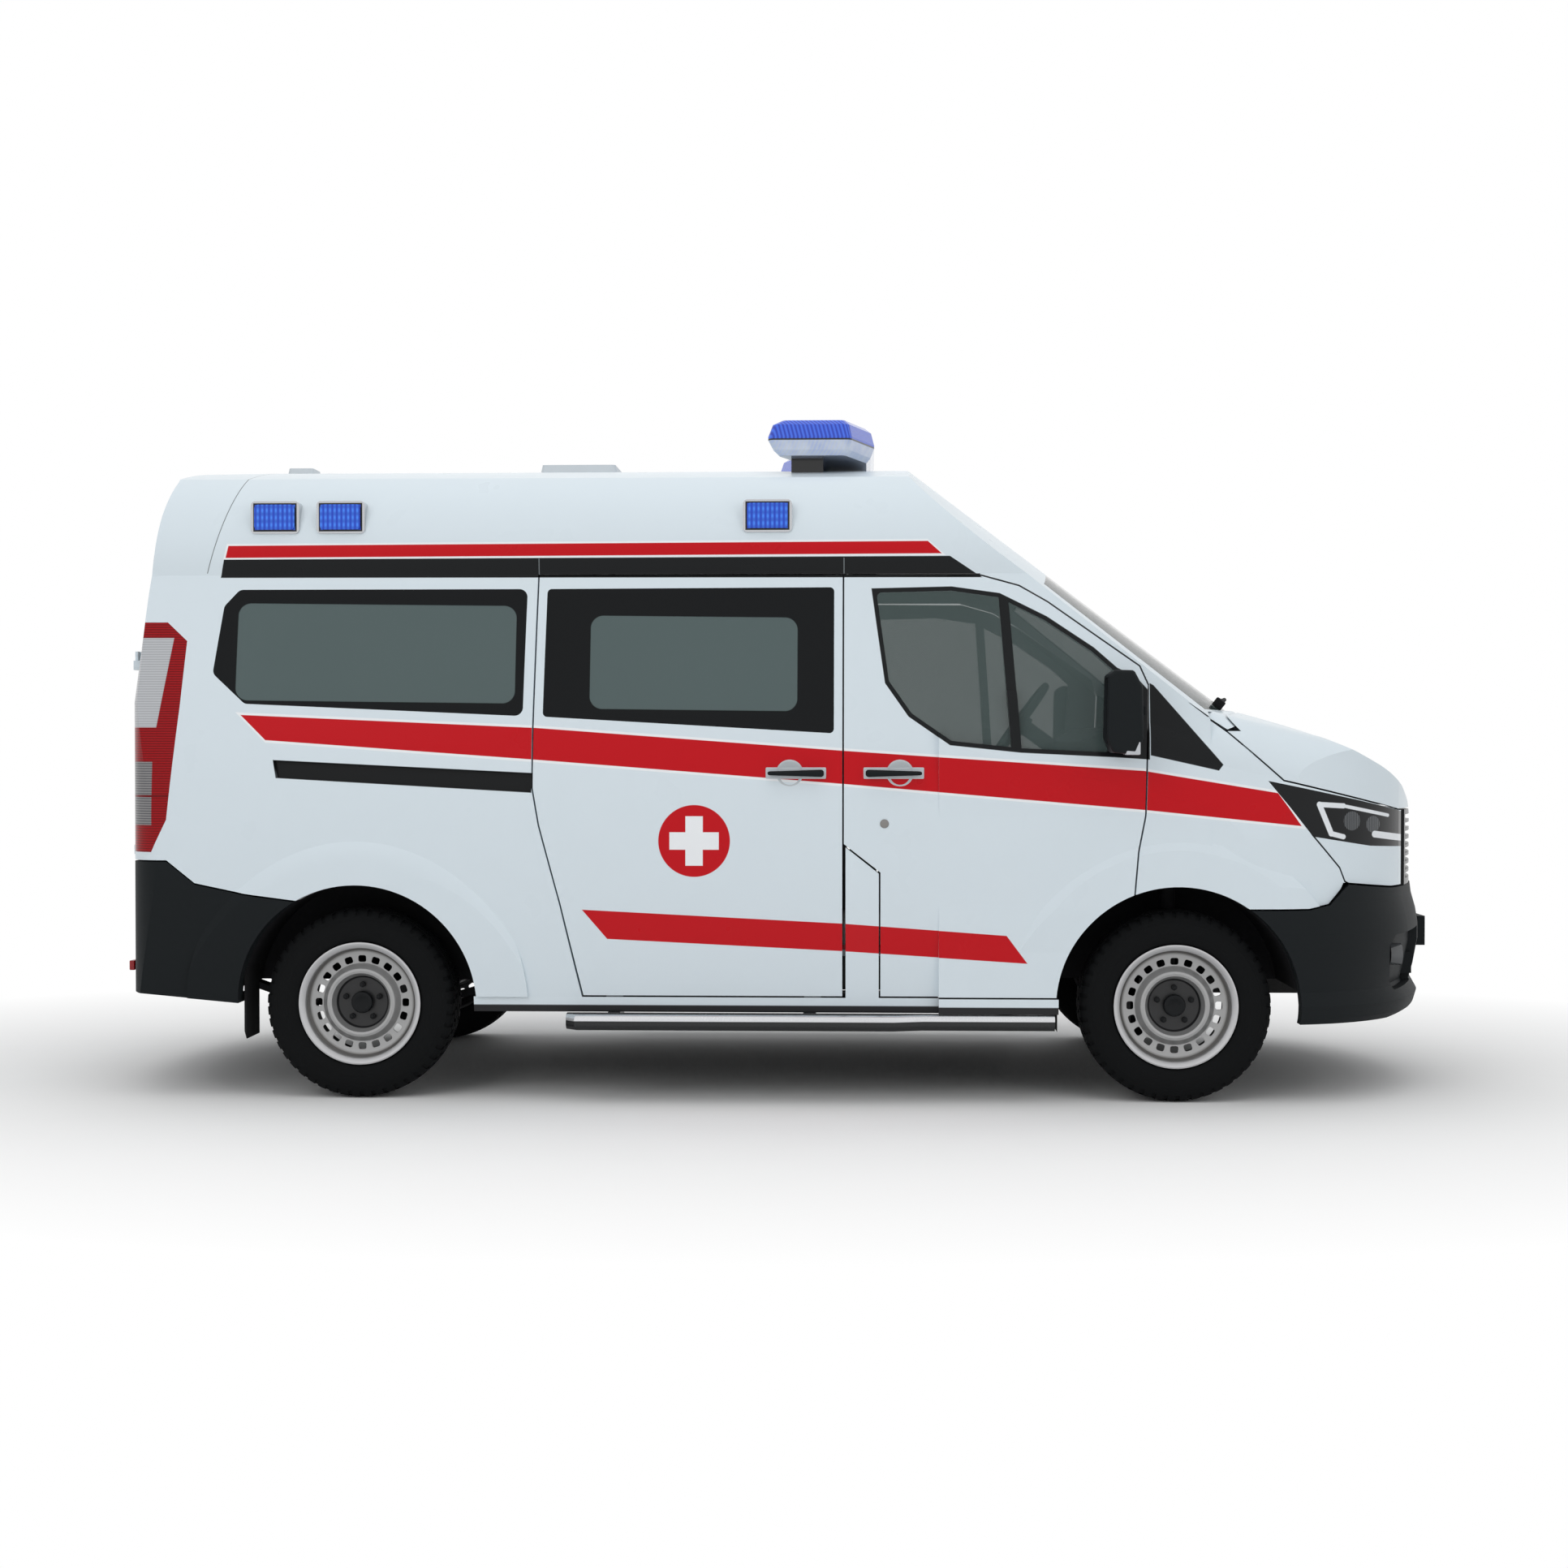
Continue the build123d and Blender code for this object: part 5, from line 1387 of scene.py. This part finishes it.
@dataclass
class Rear:
    """Rear handle, plate recess with its blank plate, door seal, high stop lamp, camera and reflectors.

    Attributes:
        shop: what the sub-assembly works with.
        face: x of the rear doors' outer face below its lean.
        handle_z: bottom and top of the rear handle.
        recess_z: bottom and top of the plate's recess.
        plate_z: bottom and top of the blank plate.
        seal_z: bottom and top of the seal between the doors.
        reflector_y: inner and outer end of a reflector.
        camera_z: bottom and top of the camera.
        stop_z: bottom and top of the stop lamp.
        left_door: the body that carries the plate and the seal.
    """

    shop: Workshop
    face: float = -2.317
    handle_z: Point = (1.035, 1.075)
    recess_z: Point = (0.862, 1.030)
    plate_z: Point = (0.872, 1.008)
    seal_z: Point = (0.600, 1.590)
    reflector_y: Point = (0.600, 0.740)
    camera_z: Point = (2.190, 2.240)
    stop_z: Point = (2.128, 2.156)
    left_door: str = "rear_door_left"

    def build(self) -> None:
        """Builds the rear's pieces."""
        face = self.face
        low, high = self.handle_z
        handle = block("rear_handle", (face - 0.030, -0.180, low), (face + 0.004, -0.050, high), 0.012, 4)
        self.shop.deliver(handle, "plastic", FinishName.PLASTIC, "rear_door_right")
        low, high = self.recess_z
        trim = block("plate_recess", (face - 0.010, 0.110, low), (face + 0.003, 0.610, high), 0.0045, 3)
        self.shop.deliver(trim, "plastic", FinishName.PLASTIC, self.left_door)
        low, high = self.plate_z
        plate = block("blank_plate", (face - 0.013, 0.140, low), (face - 0.008, 0.580, high), 0.0018, 2)
        self.shop.deliver(plate, "plate", FinishName.STEP, self.left_door)
        shade = block("plate_lamp_bar", (face - 0.026, 0.120, 1.012), (face + 0.003, 0.600, 1.040), 0.009, 3)
        self.shop.deliver(shade, "gloss_black", FinishName.PLASTIC, self.left_door)
        low, high = self.seal_z
        seal = block("door_split_seal", (face + 0.010, 0.0065, low), (face + 0.030, 0.0120, high), 0.002, 2)
        self.shop.deliver(seal, "rubber", FinishName.RUBBER, self.left_door)
        for side, sign in SIDES.items():
            y0, y1 = sorted(sign * end for end in self.reflector_y)
            x = self.shop.ahead("rear_bumper", sign * 0.670, 0.460, 1)
            reflector = block(f"{side}_reflector", (x - 0.004, y0, 0.442), (x + 0.016, y1, 0.478), 0.0038, 3)
            self.shop.deliver(reflector, "red", FinishName.RED, "body")
        roof = self.shop.nodes["high_roof"]
        middle = sum(self.camera_z) / 2
        hit, place, _, _ = roof.ray_cast(Vector((-2.7, 0, middle)), Vector((1, 0, 0)))
        if not hit:
            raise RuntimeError("the camera misses the roof")
        low, high = self.camera_z
        camera = block("rear_camera", (place.x - 0.040, -0.030, low), (place.x + 0.010, 0.030, high), 0.012, 4)
        self.shop.deliver(camera, "plastic", FinishName.PLASTIC, "body")
        low, high = self.stop_z
        stop = block("stop_lamp", (place.x - 0.012, -0.190, low), (place.x + 0.014, 0.190, high), 0.006, 3)
        self.shop.deliver(stop, "red", FinishName.RED, "body")


@dataclass
class Cab:
    """Padded seats on their bases, and the stretcher's pad.

    Attributes:
        shop: what the sub-assembly works with.
        pressure: the air pressure that fills a cushion.
        frames: how many frames the filling takes.
        swell: how far a point of a cushion may move.
        seat_y: how far a seat's middle lies from the vehicle's.
        cushion: its x, its z and half its width.
        back: its x, its z and half its width.
        headrest: its x, its z and half its width.
        recline: how far the back leans, in degrees.
    """

    shop: Workshop
    pressure: float = 4.0
    frames: int = 20
    swell: float = 0.006
    seat_y: float = 0.430
    cushion: tuple[Point, Point, float] = ((0.400, 0.880), (0.815, 0.935), 0.235)
    back: tuple[Point, Point, float] = ((0.330, 0.440), (0.930, 1.455), 0.225)
    headrest: tuple[Point, Point, float] = ((0.285, 0.350), (1.475, 1.630), 0.120)
    recline: float = 5.0

    def _pad(
        self, name: str, low: Place, high: Place, crown: float, tilt: float = 0.0, voxel: float = 0.008
    ) -> bpy.types.Object:
        """A crowned cushion that narrows towards its edges.

        Args:
            name: the piece's name.
            low: its lowest corner.
            high: its highest corner.
            crown: how far its faces pull in at the edges.
            tilt: how far it leans back, in degrees.
            voxel: the size of its faces in the simulation.

        Returns:
            The cushion.
        """
        low = tuple(part + self.swell for part in low)
        high = tuple(part - self.swell for part in high)
        pad = block(name, low, high, min(b - a for a, b in zip(low, high)) * 0.30, 3)
        only(pad)
        bpy.ops.object.mode_set(mode="EDIT")
        bpy.ops.mesh.select_all(action="SELECT")
        bpy.ops.mesh.subdivide(number_cuts=2)
        bpy.ops.object.mode_set(mode="OBJECT")
        centre = (Vector(low) + Vector(high)) / 2
        half = (Vector(high) - Vector(low)) / 2
        thin = min(range(3), key=lambda axis: half[axis])
        for vertex in pad.data.vertices:
            away = vertex.co - centre
            reach = max(abs(away[axis]) / half[axis] for axis in range(3) if axis != thin)
            vertex.co[thin] = centre[thin] + away[thin] * (1 - crown * min(1.0, reach) ** 3)
        if tilt:
            only(pad)
            bpy.ops.object.mode_set(mode="EDIT")
            bpy.ops.mesh.select_all(action="SELECT")
            bpy.ops.transform.rotate(value=math.radians(tilt), orient_axis="Y",
                                     center_override=(centre.x, centre.y, low[2]))
            bpy.ops.object.mode_set(mode="OBJECT")
        self._puff(pad, voxel)
        modify(pad, "SUBSURF", levels=1, render_levels=1)
        return smooth(pad, 60.0)

    def _puff(self, pad: bpy.types.Object, voxel: float) -> None:
        """Fills a cushion in a short cloth simulation and applies what it did.

        Args:
            pad: the cushion.
            voxel: the size of its remeshed faces.
        """
        modify(pad, "REMESH", mode="VOXEL", voxel_size=voxel)
        start = [vertex.co.copy() for vertex in pad.data.vertices]
        cloth = pad.modifiers.new("filling", "CLOTH")
        cloth.settings.use_pressure = True
        cloth.settings.uniform_pressure_force = self.pressure
        cloth.settings.effector_weights.gravity = 0.0
        for frame in range(1, self.frames + 1):
            bpy.context.scene.frame_set(frame)
        only(pad)
        bpy.ops.object.modifier_apply(modifier=cloth.name)
        bpy.context.scene.frame_set(1)
        for vertex, old in zip(pad.data.vertices, start):
            move = vertex.co - old
            if move.length > self.swell:
                vertex.co = old + move.normalized() * self.swell

    def build(self) -> None:
        """Builds the seats and the stretcher's pad."""
        first = True
        for side, y in (("driver", self.seat_y), ("mate", -self.seat_y)):
            parts = []
            for kind, shape, crown, tilt in (
                ("cushion", self.cushion, 0.25, 0.0),
                ("back", self.back, 0.30, self.recline),
                ("headrest", self.headrest, 0.30, 0.0),
            ):
                (x0, x1), (z0, z1), half = shape
                parts.append(self._pad(f"{side}_{kind}", (x0, y - half, z0), (x1, y + half, z1), crown, tilt))
            for part in parts:
                self.shop.deliver(part, "fabric", FinishName.FABRIC, "body", ["seats"] if first else [])
                first = False
            base = block(f"{side}_seat_base", (0.400, y - 0.200, 0.562), (0.790, y + 0.200, 0.812), 0.02, 3)
            self.shop.deliver(base, "interior", FinishName.INTERIOR, "body")
            for offset in (-0.05, 0.05):
                stalk = bar(f"{side}_stalk_{'a' if offset < 0 else 'b'}", (0.318, y + offset, 1.440),
                            (0.318, y + offset, 1.500), 0.006, 12)
                self.shop.deliver(stalk, "chrome", FinishName.STEEL, "body")
        if "mattress" in self.shop.nodes:
            low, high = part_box("mattress")
            pad = self._pad("stretcher_pad", tuple(low), tuple(high), 0.10, voxel=0.013)
            self.shop.deliver(pad, "vinyl", FinishName.FABRIC, "body", ["mattress"])


@dataclass
class Studio:
    """Floor, world, lights and camera.

    Attributes:
        eye: the camera's place.
        yaw: how far it is turned towards the vehicle's rear, in degrees.
        pitch: how far it looks down, in degrees.
        lens: its focal length in millimetres, on a 36 mm sensor.
    """

    eye: Place = (0.344, -9.0, 1.271)
    yaw: float = 2.1
    pitch: float = 0.95
    lens: float = 51.8

    def _shown(self, graph: Graph) -> Value:
        """1 for rays that show the background itself."""
        path = graph.add("ShaderNodeLightPath", {}, {})
        seen = Value(graph, path.outputs["Is Camera Ray"])
        seen = seen.most(Value(graph, path.outputs["Is Glossy Ray"]))
        return seen.most(Value(graph, path.outputs["Is Transmission Ray"]))

    def _floor(self) -> None:
        """A pale floor that runs into the white background away from the vehicle."""
        bpy.ops.object.select_all(action="DESELECT")
        bpy.ops.mesh.primitive_circle_add(vertices=96, radius=60.0, fill_type="NGON", location=(0, 0, 0))
        floor = bpy.context.object
        floor.name = "studio_floor"
        graph = Graph("studio_floor")
        x, y, _ = graph.place()
        away = (x * x * 0.45 + y * y).root()
        fade = ((away - 1.5) * 0.5).clamped() * self._shown(graph)
        speck = graph.mix(graph.noise(3.0), (0.90, 0.90, 0.895), (0.92, 0.92, 0.915))
        matt = graph.add("ShaderNodeBsdfDiffuse", {}, {"Color": speck}).outputs[0]
        white = graph.add("ShaderNodeEmission", {}, {"Color": (1, 1, 1, 1), "Strength": 1.0}).outputs[0]
        mixed = graph.add("ShaderNodeMixShader", {}, {0: fade, 1: matt, 2: white}).outputs[0]
        graph.add("ShaderNodeOutputMaterial", {}, {0: mixed})
        floor.data.materials.append(graph.material)

    def _world(self) -> None:
        """White where it is seen, softer where it lights."""
        world = bpy.data.worlds.new("studio")
        world.use_nodes = True
        bpy.context.scene.world = world
        graph = Graph.__new__(Graph)
        graph.tree = world.node_tree
        graph.tree.nodes.clear()
        light = graph.add("ShaderNodeBackground", {}, {"Color": (0.97, 0.985, 1, 1), "Strength": 0.50})
        shown = graph.add("ShaderNodeBackground", {}, {"Color": (1, 1, 1, 1), "Strength": 1.0})
        mixed = graph.add("ShaderNodeMixShader", {}, {0: self._shown(graph), 1: light.outputs[0],
                                                      2: shown.outputs[0]})
        graph.add("ShaderNodeOutputWorld", {}, {0: mixed.outputs[0]})

    def _lamp(self, name: str, place: Place, target: Place, size: float, power: float) -> None:
        """One large soft lamp.

        Args:
            name: its name.
            place: where it stands.
            target: where it points.
            size: its width.
            power: its power in watts.
        """
        data = bpy.data.lights.new(name, "AREA")
        data.size = size
        data.energy = power
        lamp = bpy.data.objects.new(name, data)
        lamp.location = place
        lamp.rotation_euler = (Vector(target) - Vector(place)).to_track_quat("-Z", "Y").to_euler()
        lamp.visible_glossy = False
        bpy.context.scene.collection.objects.link(lamp)

    def build(self) -> None:
        """Builds the studio and aims the camera."""
        self._floor()
        self._world()
        self._lamp("top_light", (0.0, -1.0, 7.5), (0.0, 0.0, 0.5), 9.0, 210.0)
        self._lamp("key_light", (-4.5, -8.5, 5.5), (0.0, 0.0, 1.0), 5.0, 155.0)
        self._lamp("fill_light", (6.5, -6.5, 3.5), (1.0, 0.0, 1.0), 5.0, 85.0)
        self._lamp("back_light", (0.0, 8.5, 5.0), (0.0, 0.0, 1.0), 6.0, 100.0)
        data = bpy.data.cameras.new("camera")
        data.lens = self.lens
        data.sensor_width = 36.0
        data.clip_end = 200.0
        camera = bpy.data.objects.new("camera", data)
        camera.location = self.eye
        camera.rotation_euler = (math.radians(90 - self.pitch), 0.0, math.radians(self.yaw))
        bpy.context.scene.collection.objects.link(camera)
        bpy.context.scene.camera = camera
        bpy.context.scene.view_settings.view_transform = "Standard"


def main() -> None:
    """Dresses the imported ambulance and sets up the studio."""
    logging.basicConfig(level=logging.INFO, format="%(name)s: %(message)s")
    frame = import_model()
    wardrobe = Wardrobe()
    wardrobe.dress_nodes(frame["nodes"])
    shop = Workshop(frame, wardrobe)
    for part in (Wheels(shop), DoorHandles(shop), Mirrors(shop), Front(shop), Rear(shop), Cab(shop)):
        part.build()
        LOG.info("%s: %d pieces so far", type(part).__name__, shop.count)
    Studio().build()


if __name__ == "__main__":
    main()
